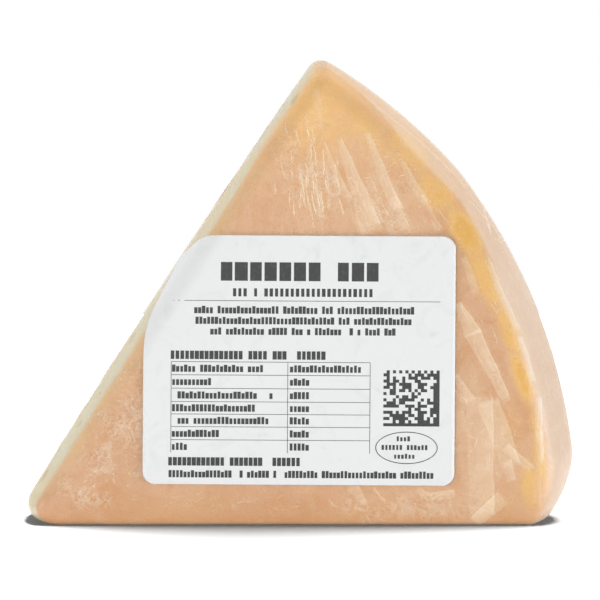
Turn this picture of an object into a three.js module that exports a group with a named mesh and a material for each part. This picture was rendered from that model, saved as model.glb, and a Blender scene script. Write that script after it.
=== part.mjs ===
// A portion of soft washed-rind cheese: a sector of a flat wheel, tightly wrapped in clear film,
// standing on one of its two cut faces, with a paper sticker on the rind face towards -Y.
//
// Millimetres, +Z up. The wheel's axis runs along Y, through the tip of the sector.
// The shape is first worked out with that tip at x = 0, z = 0 and the wheel's middle plane at y = 0,
// then moved so that the origin is the middle of the bottom of the whole portion.
import * as THREE from "three";

// The wheel and the sector cut from it
const WHEEL_RADIUS = 93.1; // to the fullest part of the rim
const SECTOR_ANGLE = THREE.MathUtils.degToRad(56.8);
const HALF_THICKNESS = 18; // half the wheel's height, from the middle plane to a rind face

// How the soft cheese swells between its two rind faces
const RIM_BULGE = 4.9; // the rim stands out this much more at mid height than at a face
const RIM_BULGE_POWER = 2.4;
const RIM_BULGE_EASE = 0.5; // share of that bulge that is lost at either end of the rim
const CUT_BULGE = 2.2; // the free cut face swells this much past the edge of the rind
const CUT_BULGE_POWER = 2.5;
const CUT_BOW = 0.6; // the free cut face is bowed outwards along its length too
const CUT_OFFSET = 0.9; // the free cut misses the wheel's axis by this much

// How the rim slumps towards the two cuts
const BASE_SLUMP = 5.1;
const BASE_SLUMP_ANGLE = THREE.MathUtils.degToRad(7.2);
const BASE_SLUMP_POWER = 1.6;
const TOP_SLUMP = 2.2;
const TOP_SLUMP_ANGLE = THREE.MathUtils.degToRad(19.4);

// Rounded edges
const TIP_ROUNDING = 4.8; // at the sharp tip of the sector
const BASE_CORNER_ROUNDING = 1.5; // where the rim meets the cut that the portion stands on
const TOP_CORNER_ROUNDING = 2.4; // where the rim meets the free cut
const CORNER_BLEND_FROM = 20; // heights between which one corner rounding gives way to the other
const CORNER_BLEND_TO = 50;
const FREE_EDGE_ROUNDING = 2.4; // where a rind face meets the rim or the free cut
const BASE_EDGE_ROUNDING = 1.1; // where a rind face meets the cut that it stands on
const BASE_EDGE_HEIGHT = 7; // the base's edge rounding grows to the free one over this height
const SHOULDER_DROP = 0.5; // a rind face falls away this much towards its border
const SHOULDER_WIDTH = 12;

// The sticker: plain paper, stuck over the film, its left end folded round onto the free cut
const LABEL_WIDTH = 50;
const LABEL_HEIGHT = 40;
const LABEL_THICKNESS = 0.3;
const LABEL_GAP = 0.3; // film and glue between the paper and the wrapped cheese
const LABEL_CORNER = 2;
const LABEL_CENTRE_X = 47.7;
const LABEL_CENTRE_Z = 26.3;
const LABEL_LEAN = THREE.MathUtils.degToRad(0.5); // clockwise, seen from the front

// Fineness of the facets
const OUTLINE_POINTS = 132;
const MERIDIAN_STEPS = 24;
const FACE_RINGS = [0.66, 0.33]; // rings of a rind face, as shares of the way from its middle
const LABEL_STRIPS = 26;
const LABEL_CORNER_STEPS = 8;
const TURN_WEIGHT = 9; // millimetres of length that one radian of turning counts for
const TRACE_STEPS = 720; // steps of a line before it is thinned
const TOUCH = 1e-6; // points this close to a fold line count as on it

// A point well inside the sector, from which its outline is traced, and how far in from the
// outline the round side of the wheel is traced
const MIDDLE_X = 56;
const MIDDLE_Z = 27;
const SIDE_DEPTH = 15;

// Two surfaces, given by signed distances that are negative inside, meet in a rounded edge.
function roundedMeet(a, b, rounding) {
  const outA = Math.max(a + rounding, 0);
  const outB = Math.max(b + rounding, 0);
  return Math.min(Math.max(a, b), -rounding) + Math.hypot(outA, outB);
}

// The part of a slope that is left at a share of its width, from 1 at its foot to 0 past its end.
function fall(share, power) {
  return Math.pow(THREE.MathUtils.clamp(1 - share, 0, 1), power);
}

// Signed distance to the round rim, which bulges between the faces and slumps towards the cuts.
function rimDistance(x, y, z) {
  const angle = Math.atan2(z, x);
  const baseShare = Math.max(angle, 0) / BASE_SLUMP_ANGLE;
  const topShare = Math.max(SECTOR_ANGLE - angle, 0) / TOP_SLUMP_ANGLE;
  const slump = BASE_SLUMP * fall(baseShare, BASE_SLUMP_POWER) + TOP_SLUMP * fall(topShare, 1);
  const bulge = RIM_BULGE * (1 - RIM_BULGE_EASE * (fall(baseShare, 1) + fall(topShare, 1)));
  const pulledIn = bulge * Math.pow(Math.abs(y) / HALF_THICKNESS, RIM_BULGE_POWER);
  return Math.hypot(x, z) - WHEEL_RADIUS + slump + pulledIn;
}

// Signed distance to the free cut face, which leans over the tip at the sector's angle.
function cutDistance(x, y, z) {
  const along = (x * Math.cos(SECTOR_ANGLE) + z * Math.sin(SECTOR_ANGLE)) / WHEEL_RADIUS;
  const across = z * Math.cos(SECTOR_ANGLE) - x * Math.sin(SECTOR_ANGLE);
  const bow = CUT_BOW * 4 * along * (1 - along);
  const pulledIn = CUT_BULGE * Math.pow(Math.abs(y) / HALF_THICKNESS, CUT_BULGE_POWER);
  return across + CUT_OFFSET - bow + pulledIn;
}

// Signed distance to the skin of the whole wrapped portion.
function skinDistance(x, y, z) {
  const cuts = roundedMeet(cutDistance(x, y, z), -z, TIP_ROUNDING);
  const topShare = THREE.MathUtils.smoothstep(z, CORNER_BLEND_FROM, CORNER_BLEND_TO);
  const corner = THREE.MathUtils.lerp(BASE_CORNER_ROUNDING, TOP_CORNER_ROUNDING, topShare);
  const sides = roundedMeet(cuts, rimDistance(x, y, z), corner);
  const drop = SHOULDER_DROP * fall(-sides / SHOULDER_WIDTH, 2);
  const face = Math.abs(y) - HALF_THICKNESS + drop;
  const freeShare = THREE.MathUtils.smoothstep(z, 0, BASE_EDGE_HEIGHT);
  const edge = THREE.MathUtils.lerp(BASE_EDGE_ROUNDING, FREE_EDGE_ROUNDING, freeShare);
  return roundedMeet(sides, face, edge);
}

// The distance from an inner point to the skin, along a direction.
function reach(from, direction) {
  let inside = 0;
  let outside = 2 * WHEEL_RADIUS;
  for (let i = 0; i < 48; i++) {
    const half = (inside + outside) / 2;
    const point = from.clone().addScaledVector(direction, half);
    if (skinDistance(point.x, point.y, point.z) < 0) inside = half;
    else outside = half;
  }
  return inside;
}

// Points of a fine line, thinned to a count of steps that lie closer where the line turns.
function spread(line, steps, closed) {
  const last = line.length - 1;
  const weight = [0];
  for (let i = 1; i <= last; i++) {
    const step = line[i].clone().sub(line[i - 1]);
    const before = i > 1 ? line[i - 1].clone().sub(line[i - 2]) : step;
    const turn = step.lengthSq() > 0 && before.lengthSq() > 0 ? step.angleTo(before) : 0;
    weight.push(weight[i - 1] + step.length() + TURN_WEIGHT * turn);
  }
  const points = [];
  let at = 1;
  for (let k = 0; k <= steps; k++) {
    const target = (weight[last] * k) / steps;
    while (at < last && weight[at] < target) at++;
    const share = (target - weight[at - 1]) / (weight[at] - weight[at - 1]);
    points.push(line[at - 1].clone().lerp(line[at], THREE.MathUtils.clamp(share, 0, 1)));
  }
  return closed ? points.slice(0, steps) : points;
}

// A line over the skin from the front rind face, round the side, to the back rind face, in the
// plane that holds the Y direction and an outward direction.
function meridian(inner, outward, steps) {
  const line = [];
  for (let i = 0; i <= TRACE_STEPS; i++) {
    const turn = -Math.PI / 2 + (Math.PI * i) / TRACE_STEPS;
    const direction = outward.clone().multiplyScalar(Math.cos(turn));
    direction.y = Math.sin(turn);
    line.push(inner.clone().addScaledVector(direction, reach(inner, direction)));
  }
  return spread(line, steps, false);
}

// The closed outline of the sector at its middle plane, as outward directions from its middle.
function outlineDirections(middle) {
  const line = [];
  for (let i = 0; i <= TRACE_STEPS; i++) {
    const turn = (2 * Math.PI * i) / TRACE_STEPS;
    const direction = new THREE.Vector3(Math.cos(turn), 0, Math.sin(turn));
    line.push(middle.clone().addScaledVector(direction, reach(middle, direction)));
  }
  return spread(line, OUTLINE_POINTS, true).map((point) => point.sub(middle).normalize());
}

// A closed body from rows of points that each run once round it, with a point at either end.
function closedBody(rows, firstPoint, lastPoint) {
  const around = rows[0].length;
  const points = [firstPoint, ...rows.flat(), lastPoint];
  const faces = [];
  const at = (row, column) => 1 + row * around + (column % around);
  for (let column = 0; column < around; column++) {
    faces.push(0, at(0, column), at(0, column + 1));
    for (let row = 0; row < rows.length - 1; row++) {
      faces.push(at(row, column), at(row + 1, column), at(row, column + 1));
      faces.push(at(row, column + 1), at(row + 1, column), at(row + 1, column + 1));
    }
    faces.push(points.length - 1, at(rows.length - 1, column + 1), at(rows.length - 1, column));
  }
  return geometryOf(points, faces);
}

function geometryOf(points, faces) {
  const geometry = new THREE.BufferGeometry().setFromPoints(points);
  geometry.setIndex(faces);
  geometry.computeVertexNormals();
  return geometry;
}

// The wrapped cheese: lines over its skin side by side, joined by rings on the two rind faces.
function wrappedCheese() {
  const middle = new THREE.Vector3(MIDDLE_X, 0, MIDDLE_Z);
  const frontMiddle = new THREE.Vector3(MIDDLE_X, -HALF_THICKNESS, MIDDLE_Z);
  const backMiddle = new THREE.Vector3(MIDDLE_X, HALF_THICKNESS, MIDDLE_Z);
  const lines = outlineDirections(middle).map((outward) => {
    const inner = middle.clone().addScaledVector(outward, reach(middle, outward) - SIDE_DEPTH);
    return meridian(inner, outward, MERIDIAN_STEPS);
  });
  const ring = (face, share) =>
    lines.map((line) => {
      const border = face < 0 ? line[0] : line[MERIDIAN_STEPS];
      const point = (face < 0 ? frontMiddle : backMiddle).clone().lerp(border, share);
      return point.setY(face * HALF_THICKNESS);
    });
  const rows = [];
  for (const share of [...FACE_RINGS].reverse()) rows.push(ring(-1, share));
  for (let step = 0; step <= MERIDIAN_STEPS; step++) rows.push(lines.map((line) => line[step]));
  for (const share of FACE_RINGS) rows.push(ring(1, share));
  return closedBody(rows, frontMiddle, backMiddle);
}

// The path that the paper follows over the skin, in the plane square to the free cut: its
// middle line from the flat rind face round onto the cut, as steps that each have a place
// (distance past the inner point, depth along Y), an outward direction, and the inset from the
// free cut that the flat paper has there before it is bent.
function labelPath(inner, outward) {
  const lift = LABEL_GAP + LABEL_THICKNESS / 2;
  const skin = meridian(inner, outward, 2 * LABEL_STRIPS).slice(0, LABEL_STRIPS + 1);
  const section = skin.map((point) => {
    return new THREE.Vector2(point.clone().sub(inner).dot(outward), point.y);
  });
  const steps = section.map((point, i) => {
    const ahead = section[Math.min(i + 1, LABEL_STRIPS)];
    const behind = section[Math.max(i - 1, 0)];
    const heading = ahead.clone().sub(behind).normalize();
    const normal = new THREE.Vector2(heading.y, -heading.x);
    return { place: point.clone().addScaledVector(normal, lift), normal };
  });
  let inset = SIDE_DEPTH;
  steps.forEach((step, i) => {
    if (i > 0) inset -= step.place.distanceTo(steps[i - 1].place);
    step.inset = inset;
  });
  return steps;
}

// The sticker's rounded outline, flat, in the plane of the rind face.
function labelOutline() {
  const points = [];
  const halfWidth = LABEL_WIDTH / 2 - LABEL_CORNER;
  const halfHeight = LABEL_HEIGHT / 2 - LABEL_CORNER;
  const centre = new THREE.Vector2(LABEL_CENTRE_X, LABEL_CENTRE_Z);
  for (let i = 0; i < 4 * (LABEL_CORNER_STEPS + 1); i++) {
    const corner = Math.floor(i / (LABEL_CORNER_STEPS + 1));
    const share = (i % (LABEL_CORNER_STEPS + 1)) / LABEL_CORNER_STEPS;
    const turn = (Math.PI / 2) * (corner + share);
    const right = corner === 0 || corner === 3 ? 1 : -1;
    const up = corner < 2 ? 1 : -1;
    const x = right * halfWidth + LABEL_CORNER * Math.cos(turn);
    const z = up * halfHeight + LABEL_CORNER * Math.sin(turn);
    points.push(new THREE.Vector2(x, z).rotateAround(new THREE.Vector2(), -LABEL_LEAN).add(centre));
  }
  return points;
}

// The same outline with a further point wherever a fold line crosses it.
function cutAtFolds(outline, folds, insetOf) {
  const points = [];
  outline.forEach((point, i) => {
    const next = outline[(i + 1) % outline.length];
    const change = insetOf(next) - insetOf(point);
    const shares = folds.map((fold) => (fold - insetOf(point)) / change);
    const crossed = shares.filter((share) => share > TOUCH && share < 1 - TOUCH);
    points.push(point);
    crossed.sort((a, b) => a - b).forEach((share) => points.push(point.clone().lerp(next, share)));
  });
  return points;
}

// The sticker: between one fold line and the next it is flat, so each such strip is a convex
// polygon, bent into place as a whole, with a front and a back face and an edge all round.
function label() {
  const along = new THREE.Vector3(Math.cos(SECTOR_ANGLE), 0, Math.sin(SECTOR_ANGLE));
  const outward = new THREE.Vector3(-Math.sin(SECTOR_ANGLE), 0, Math.cos(SECTOR_ANGLE));
  const inner = along.clone().multiplyScalar(WHEEL_RADIUS / 2).addScaledVector(outward, -SIDE_DEPTH);
  const steps = labelPath(inner, outward);
  const insetOf = (point) => -(point.x * outward.x + point.y * outward.z);
  const folds = steps.slice(1).map((step) => step.inset);
  const outline = cutAtFolds(labelOutline(), folds, insetOf);

  // A point of the flat outline, bent, on the outer (1) or the inner (-1) side of the paper.
  const bend = (point, side) => {
    const inset = insetOf(point);
    const ahead = Math.max(steps.findIndex((step) => step.inset <= inset), 1);
    const [from, to] = [steps[ahead - 1], steps[ahead]];
    const share = (from.inset - inset) / (from.inset - to.inset);
    const normal = from.normal.clone().lerp(to.normal, Math.max(share, 0)).normalize();
    const place = from.place.clone().lerp(to.place, share);
    place.addScaledVector(normal, (side * LABEL_THICKNESS) / 2);
    const bent = along.clone().multiplyScalar(point.x * along.x + point.y * along.z);
    return bent.addScaledVector(outward, place.x - SIDE_DEPTH).setY(place.y);
  };

  const count = outline.length;
  const faces = [];
  const limits = [Infinity, ...folds, -Infinity];
  for (let strip = 0; strip < limits.length - 1; strip++) {
    const border = outline.map((_, i) => i).filter((i) => {
      const inset = insetOf(outline[i]);
      return inset < limits[strip] + TOUCH && inset > limits[strip + 1] - TOUCH;
    });
    for (let i = 1; i < border.length - 1; i++) {
      faces.push(border[0], border[i], border[i + 1]);
      faces.push(count + border[0], count + border[i + 1], count + border[i]);
    }
  }
  for (let i = 0; i < count; i++) {
    const next = (i + 1) % count;
    faces.push(i, count + i, next);
    faces.push(next, count + i, count + next);
  }
  const outer = outline.map((point) => bend(point, 1));
  return geometryOf([...outer, ...outline.map((point) => bend(point, -1))], faces);
}

function piece(name, geometry, color, roughness) {
  const material = new THREE.MeshStandardMaterial({ color, roughness, metalness: 0 });
  const mesh = new THREE.Mesh(geometry, material);
  mesh.name = name;
  return mesh;
}

const cheese = piece("wrapped_cheese", wrappedCheese(), 0xdeb088, 0.45);
const sticker = piece("label", label(), 0xeeeeec, 0.6);

const portion = new THREE.Group();
portion.add(cheese, sticker);
const box = new THREE.Box3().setFromObject(portion, true);
const centre = box.getCenter(new THREE.Vector3());
portion.position.set(-centre.x, -centre.y, -box.min.z);

const part = new THREE.Group();
part.add(portion);

export default part;
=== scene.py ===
# A wedge of munster cheese, drawn tightly into clear film, with a paper label on one rind face.
# It stands on one of its two cut faces, as it does on a shop's shelf. The unit is the metre.
import math

import bmesh
import bpy
import numpy as np
from mathutils import Matrix, Vector


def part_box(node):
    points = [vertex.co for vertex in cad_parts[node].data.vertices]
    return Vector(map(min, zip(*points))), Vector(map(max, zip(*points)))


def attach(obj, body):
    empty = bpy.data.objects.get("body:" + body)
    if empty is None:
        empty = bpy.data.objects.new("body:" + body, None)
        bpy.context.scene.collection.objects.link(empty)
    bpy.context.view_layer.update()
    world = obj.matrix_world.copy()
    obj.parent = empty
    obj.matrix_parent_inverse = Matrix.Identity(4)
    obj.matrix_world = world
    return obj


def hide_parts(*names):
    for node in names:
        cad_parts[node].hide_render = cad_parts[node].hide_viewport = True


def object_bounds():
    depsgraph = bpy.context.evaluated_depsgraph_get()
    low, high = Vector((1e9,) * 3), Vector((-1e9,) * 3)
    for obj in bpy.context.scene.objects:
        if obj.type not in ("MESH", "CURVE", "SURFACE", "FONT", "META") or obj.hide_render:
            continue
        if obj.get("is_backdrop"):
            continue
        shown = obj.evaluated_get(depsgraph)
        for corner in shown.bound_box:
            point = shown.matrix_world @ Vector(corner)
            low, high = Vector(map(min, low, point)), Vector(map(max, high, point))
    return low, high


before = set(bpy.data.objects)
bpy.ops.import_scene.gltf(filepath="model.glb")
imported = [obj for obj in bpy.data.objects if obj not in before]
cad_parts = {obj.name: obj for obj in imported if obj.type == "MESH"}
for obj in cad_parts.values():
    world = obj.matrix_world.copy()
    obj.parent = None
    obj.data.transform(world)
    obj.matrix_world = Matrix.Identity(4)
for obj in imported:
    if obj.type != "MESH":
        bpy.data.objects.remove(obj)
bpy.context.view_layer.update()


# The cheese
# A sector of a flat, round wheel of soft cheese with a washed rind. The wheel is ripened, cut
# with a wire and swells a little past its rind once cut. Both cut faces show ivory paste with
# small openings, and the two flat faces and the rim are peach-coloured rind.
MM = 0.001
WHEEL_RADIUS = 93.1 * MM
SECTOR_ANGLE = math.radians(56.8)
HALF_THICKNESS = 18 * MM
RIM_BULGE = 4.9 * MM
RIM_BULGE_POWER = 2.4
RIM_BULGE_EASE = 0.5
CUT_BULGE = 2.2 * MM
CUT_BULGE_POWER = 2.5
CUT_BOW = 0.6 * MM
CUT_OFFSET = 0.9 * MM
BASE_SLUMP = 5.1 * MM
BASE_SLUMP_ANGLE = math.radians(7.2)
BASE_SLUMP_POWER = 1.6
TOP_SLUMP = 2.2 * MM
TOP_SLUMP_ANGLE = math.radians(19.4)
TIP_ROUNDING = 4.8 * MM
BASE_CORNER_ROUNDING = 1.5 * MM
TOP_CORNER_ROUNDING = 2.4 * MM
CORNER_BLEND = (20 * MM, 50 * MM)
FREE_EDGE_ROUNDING = 2.4 * MM
BASE_EDGE_ROUNDING = 1.1 * MM
BASE_EDGE_HEIGHT = 7 * MM
SHOULDER_DROP = 0.5 * MM
SHOULDER_WIDTH = 12 * MM
MIDDLE = np.array([56 * MM, 0, 27 * MM])  # a point well inside the sector
SIDE_DEPTH = 15 * MM
TRACE_STEPS = 400
HALVINGS = 40


def smooth(low, high, value):
    """0 below low, 1 above high, and a smooth rise between."""
    share = np.clip((value - low) / (high - low), 0, 1)
    return share * share * (3 - 2 * share)


def rounded_meet(a, b, rounding):
    """Two surfaces, as signed distances that are negative inside, meet in a rounded edge."""
    outside = np.hypot(np.maximum(a + rounding, 0), np.maximum(b + rounding, 0))
    return np.minimum(np.maximum(a, b), -rounding) + outside


def fall(share, power):
    """What is left of a slope at a share of its width: 1 at its foot, 0 past its end."""
    return np.clip(1 - share, 0, 1) ** power


def rim_distance(x, y, z):
    """Signed distance to the round rim, which bulges between the faces and slumps at the cuts."""
    angle = np.arctan2(z, x)
    base_share = np.maximum(angle, 0) / BASE_SLUMP_ANGLE
    top_share = np.maximum(SECTOR_ANGLE - angle, 0) / TOP_SLUMP_ANGLE
    slump = BASE_SLUMP * fall(base_share, BASE_SLUMP_POWER) + TOP_SLUMP * fall(top_share, 1)
    bulge = RIM_BULGE * (1 - RIM_BULGE_EASE * (fall(base_share, 1) + fall(top_share, 1)))
    pulled_in = bulge * (np.abs(y) / HALF_THICKNESS) ** RIM_BULGE_POWER
    return np.hypot(x, z) - WHEEL_RADIUS + slump + pulled_in


def cut_distance(x, y, z):
    """Signed distance to the free cut face, which leans over the tip at the sector's angle."""
    along = (x * math.cos(SECTOR_ANGLE) + z * math.sin(SECTOR_ANGLE)) / WHEEL_RADIUS
    across = z * math.cos(SECTOR_ANGLE) - x * math.sin(SECTOR_ANGLE)
    bow = CUT_BOW * 4 * along * (1 - along)
    return across + CUT_OFFSET - bow + CUT_BULGE * (np.abs(y) / HALF_THICKNESS) ** CUT_BULGE_POWER


def skin_distance(point):
    """Signed distance to the skin of the wrapped wedge, measured from the tip of the sector."""
    x, y, z = point[..., 0], point[..., 1], point[..., 2]
    cuts = rounded_meet(cut_distance(x, y, z), -z, TIP_ROUNDING)
    corner = BASE_CORNER_ROUNDING
    corner = corner + (TOP_CORNER_ROUNDING - corner) * smooth(*CORNER_BLEND, z)
    sides = rounded_meet(cuts, rim_distance(x, y, z), corner)
    drop = SHOULDER_DROP * fall(-sides / SHOULDER_WIDTH, 2)
    edge = BASE_EDGE_ROUNDING
    edge = edge + (FREE_EDGE_ROUNDING - edge) * smooth(0, BASE_EDGE_HEIGHT, z)
    return rounded_meet(sides, np.abs(y) - HALF_THICKNESS + drop, edge)


def reach(start, direction, depth=0.0):
    """The points where rays from inner points come to a depth under the skin."""
    inside = np.zeros(direction.shape[:-1])
    outside = np.full(direction.shape[:-1], 2 * WHEEL_RADIUS)
    for _ in range(HALVINGS):
        half = (inside + outside) / 2
        within = skin_distance(start + half[..., None] * direction) < -depth
        inside = np.where(within, half, inside)
        outside = np.where(within, outside, half)
    return start + inside[..., None] * direction


def spread(line, count):
    """A fine line's points, thinned to a count of points at even distances along it."""
    length = np.r_[0, np.cumsum(np.linalg.norm(np.diff(line, axis=0), axis=1))]
    at = np.linspace(0, length[-1], count)
    return np.stack([np.interp(at, length, line[:, i]) for i in range(3)], axis=1)


def outline_directions(count):
    """Directions out from the wedge's middle, evenly spaced along its outline."""
    turn = np.linspace(0, 2 * math.pi, TRACE_STEPS + 1)
    direction = np.stack([np.cos(turn), np.zeros_like(turn), np.sin(turn)], axis=1)
    offset = spread(reach(MIDDLE, direction), count + 1)[:-1] - MIDDLE
    return offset / np.linalg.norm(offset, axis=1)[:, None]


def meridians(outward, count, depth):
    """Lines over the skin from the front rind face, round the side, to the back rind face."""
    turn = np.linspace(-math.pi / 2, math.pi / 2, TRACE_STEPS + 1)
    inner = reach(MIDDLE, outward) - SIDE_DEPTH * outward
    lines = []
    for start, way in zip(inner, outward):
        direction = np.cos(turn)[:, None] * way
        direction[:, 1] = np.sin(turn)
        lines.append(spread(reach(start, direction, depth), count))
    return np.stack(lines, axis=1)


def skin_rows(around, side_rows, front_rings, back_rings, depth):
    """Rows of points that each run once round the wedge, from the front face to the back one."""
    side = meridians(outline_directions(around), side_rows, depth)
    middle = [MIDDLE + [0, face * (HALF_THICKNESS - depth), 0] for face in (-1, 1)]
    front = np.linspace(0, 1, front_rings + 2)[1:-1, None, None]
    back = np.linspace(1, 0, back_rings + 2)[1:-1, None, None]
    front_rows = middle[0] + front * (side[0] - middle[0])
    back_rows = middle[1] + back * (side[-1] - middle[1])
    return np.concatenate([front_rows, side, back_rows]), middle


def closed_mesh(name, rows, ends):
    """A closed mesh from rows of points that each run once round it, with a point at each end."""
    count, around = rows.shape[:2]
    points = np.concatenate([ends[0][None], rows.reshape(-1, 3), ends[1][None]])
    last = len(points) - 1
    here = 1 + np.arange(count * around).reshape(count, around)
    ahead = np.roll(here, -1, axis=1)
    between = np.stack([here[:-1], here[1:], ahead[1:], ahead[:-1]], axis=-1)
    faces = [(0, a, b) for a, b in zip(here[0].tolist(), ahead[0].tolist())]
    faces += between.reshape(-1, 4).tolist()
    faces += [(last, b, a) for a, b in zip(here[-1].tolist(), ahead[-1].tolist())]
    mesh = bpy.data.meshes.new(name)
    mesh.from_pydata(points.tolist(), [], faces)
    mesh.shade_smooth()
    return mesh


def store(mesh, name, values):
    """Keeps one number for each point of a mesh under a name, for its material and nodes."""
    attribute = mesh.attributes.new(name, "FLOAT", "POINT")
    attribute.data.foreach_set("value", np.asarray(values, dtype=np.float32))


def coordinates(mesh):
    """A mesh's points, one in each row."""
    points = np.empty(len(mesh.vertices) * 3)
    mesh.vertices.foreach_get("co", points)
    return points.reshape(-1, 3)


def put(tree, kind, inputs=None, **settings):
    """A new node. Its inputs are given by socket name or number, as values or as outputs."""
    made = tree.nodes.new(kind)
    for name, value in settings.items():
        setattr(made, name, value)
    for key, value in (inputs or {}).items():
        if isinstance(value, bpy.types.NodeSocket):
            tree.links.new(value, made.inputs[key])
        else:
            made.inputs[key].default_value = value
    return made


def calc(tree, operation, *values):
    """The output of a Math node on one, two or three values."""
    return put(tree, "ShaderNodeMath", dict(enumerate(values)), operation=operation).outputs[0]


def product(tree, *values):
    """Some values multiplied together."""
    made = values[0]
    for value in values[1:]:
        made = calc(tree, "MULTIPLY", made, value)
    return made


def ramp(tree, value, low, high, start=0.0, end=1.0):
    """A value's smooth change from start, at low, to end, at high."""
    inputs = {"Value": value, "From Min": low, "From Max": high, "To Min": start, "To Max": end}
    made = put(tree, "ShaderNodeMapRange", inputs, interpolation_type="SMOOTHSTEP")
    return made.outputs[0]


def blend(tree, share, under, over):
    """One colour over another by a share."""
    return put(tree, "ShaderNodeMix", {0: share, 6: under, 7: over}, data_type="RGBA").outputs[2]


def noise(tree, place, size, detail):
    """Soft noise of about a size, in metres: its tone and its colour."""
    made = put(tree, "ShaderNodeTexNoise", {"Vector": place, "Scale": 1 / size, "Detail": detail})
    return made.outputs


def bumped(tree, height, distance, strength=0.3):
    """The normals of a surface with fine relief."""
    inputs = {"Height": height, "Strength": strength, "Distance": distance}
    return put(tree, "ShaderNodeBump", inputs).outputs[0]


def node_group(kind, name, result, gives, **takes):
    """A node group that gives one named result of a kind, and its inputs, named by their kinds."""
    group = bpy.data.node_groups.new(name, kind)
    for value, labels in takes.items():
        for label in labels.split(", "):
            group.interface.new_socket(label, in_out="INPUT", socket_type="NodeSocket" + value)
    group.interface.new_socket(result, in_out="OUTPUT", socket_type="NodeSocket" + gives)
    return group, put(group, "NodeGroupInput").outputs


def patch_group():
    """Uneven soft patches, such as a rind, a milky film or smudged paper has: a warped noise,
    cut between two levels."""
    group, given = node_group(
        "ShaderNodeTree",
        "soft patches",
        "Patches",
        "Float",
        Vector="Place",
        Float="Scale, Warp, Detail, Low, High",
    )
    inputs = {"Vector": given["Place"], "Distortion": given["Warp"]}
    inputs.update({name: given[name] for name in ("Scale", "Detail")})
    cloud = put(group, "ShaderNodeTexNoise", inputs).outputs[0]
    cut = ramp(group, cloud, given["Low"], given["High"])
    put(group, "NodeGroupOutput", {"Patches": cut})
    return group


patches_group = patch_group()


def patches(tree, place, size, low, high, warp=0.0, detail=4.0):
    """A mask of soft patches of about a size, in metres. Less detail gives smoother outlines."""
    inputs = {"Place": place, "Scale": 1 / size, "Warp": warp, "Detail": detail}
    inputs.update({"Low": low, "High": high})
    return put(tree, "ShaderNodeGroup", inputs, node_tree=patches_group).outputs[0]


def moved(tree, place, offset):
    """A place moved, so that two patterns in one material differ."""
    return put(tree, "ShaderNodeMapping", {"Vector": place, "Location": offset}).outputs[0]


def drawn_out(tree, place, width, length, degrees, offset=0.0):
    """A place drawn out, so that patches of a width in it are longer in one direction, in
    degrees."""
    inputs = {
        "Vector": place,
        "Location": (offset, 0, 0),
        "Rotation": (0, math.radians(degrees), 0),
        "Scale": (1, 1, length / width),
    }
    return put(tree, "ShaderNodeMapping", inputs, vector_type="TEXTURE").outputs[0]


def strokes(tree, place, width, length, level, *directions):
    """A mask of short strokes of about a width and a length, in metres, in some directions, in
    degrees. A higher level leaves fewer of them."""
    mask = 0.0
    for degrees in directions:
        along = drawn_out(tree, place, width, length, degrees, 0.01 * degrees)
        one_way = patches(tree, along, width, level, level + 0.05, 0.5, 1.2)
        mask = calc(tree, "MAXIMUM", mask, one_way)
    return mask


def new_material(name):
    """An empty material, its tree and the place on the object that its patterns use."""
    material = bpy.data.materials.new(name)
    material.use_nodes = True
    tree = material.node_tree
    tree.nodes.clear()
    return material, tree, put(tree, "ShaderNodeTexCoord").outputs["Object"]


def named(tree, name):
    """A number that a mesh keeps for its material."""
    return put(tree, "ShaderNodeAttribute", attribute_name=name).outputs["Fac"]


CHEESE_DEPTH = 0.17 * MM  # the cheese lies this far under the outer side of the film
CHEESE_AROUND = 380
CHEESE_SIDE_ROWS = 110
CHEESE_RINGS = 26
RIND_THICKNESS = 1.7 * MM
PASTE_STRIP = 1.6  # how far in from the free cut the paste shows round the edge, in mm
PURE_PASTE = 0.95  # the least share of paste where an opening may lie
OPENING_WOBBLE = 900.0  # how finely the openings' outlines waver, in waves to the metre
# Golden patches of the rind: centre across and up, radii across and along the rim, strength
GOLDEN_PATCHES = (
    (49.0, 68.0, 8.0, 9.0, 0.9),
    (40.0, 58.5, 4.0, 5.0, 0.4),
    (58.0, 64.0, 3.0, 6.0, 0.7),
    (65.3, 60.0, 2.4, 5.0, 0.9),
    (69.8, 53.4, 2.2, 4.5, 1.0),
    (74.3, 47.2, 1.8, 4.2, 1.7),
    (77.7, 39.7, 2.0, 5.5, 1.1),
    (81.6, 31.5, 1.7, 5.0, 1.1),
    (83.5, 24.0, 1.3, 4.5, 1.5),
    (82.0, 16.0, 2.2, 6.0, 0.35),
    (84.8, 6.0, 1.7, 4.5, 0.9),
    (86.3, 12.0, 1.2, 8.0, 0.8),
    (81.0, 3.0, 5.0, 3.0, 0.35),
    (62.6, 59.7, 2.0, 3.5, 0.5),
    (28.0, 2.5, 14.0, 2.5, 0.3),
    (58.0, 2.0, 14.0, 2.5, 0.3),
    (26.0, 27.0, 3.0, 6.0, 0.3),
)

cheese_rows, cheese_ends = skin_rows(
    CHEESE_AROUND, CHEESE_SIDE_ROWS, CHEESE_RINGS, CHEESE_RINGS, CHEESE_DEPTH
)
outer_x = skin_rows(CHEESE_AROUND, 3, 0, 0, 0.0)[0][..., 0].max()
node_low, node_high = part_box("wrapped_cheese")
TO_FRAME = np.array([node_high.x - outer_x, node_low.y + HALF_THICKNESS, 0])
cheese_mesh = closed_mesh("cheese", cheese_rows, cheese_ends)
local = coordinates(cheese_mesh)
rim_depth = -rim_distance(*local.T)
golden = np.zeros(len(local))
for across, up, radius_in, radius_along, strength in GOLDEN_PATCHES:
    centre = np.array([across, up]) * MM
    outward = centre / np.linalg.norm(centre)
    offset = local[:, [0, 2]] - centre
    inwards = offset @ outward / (radius_in * MM)
    onwards = offset @ np.array([-outward[1], outward[0]]) / (radius_along * MM)
    spot = strength * np.exp(-(inwards**2 + onwards**2))
    golden = np.maximum(golden, spot)
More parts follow.
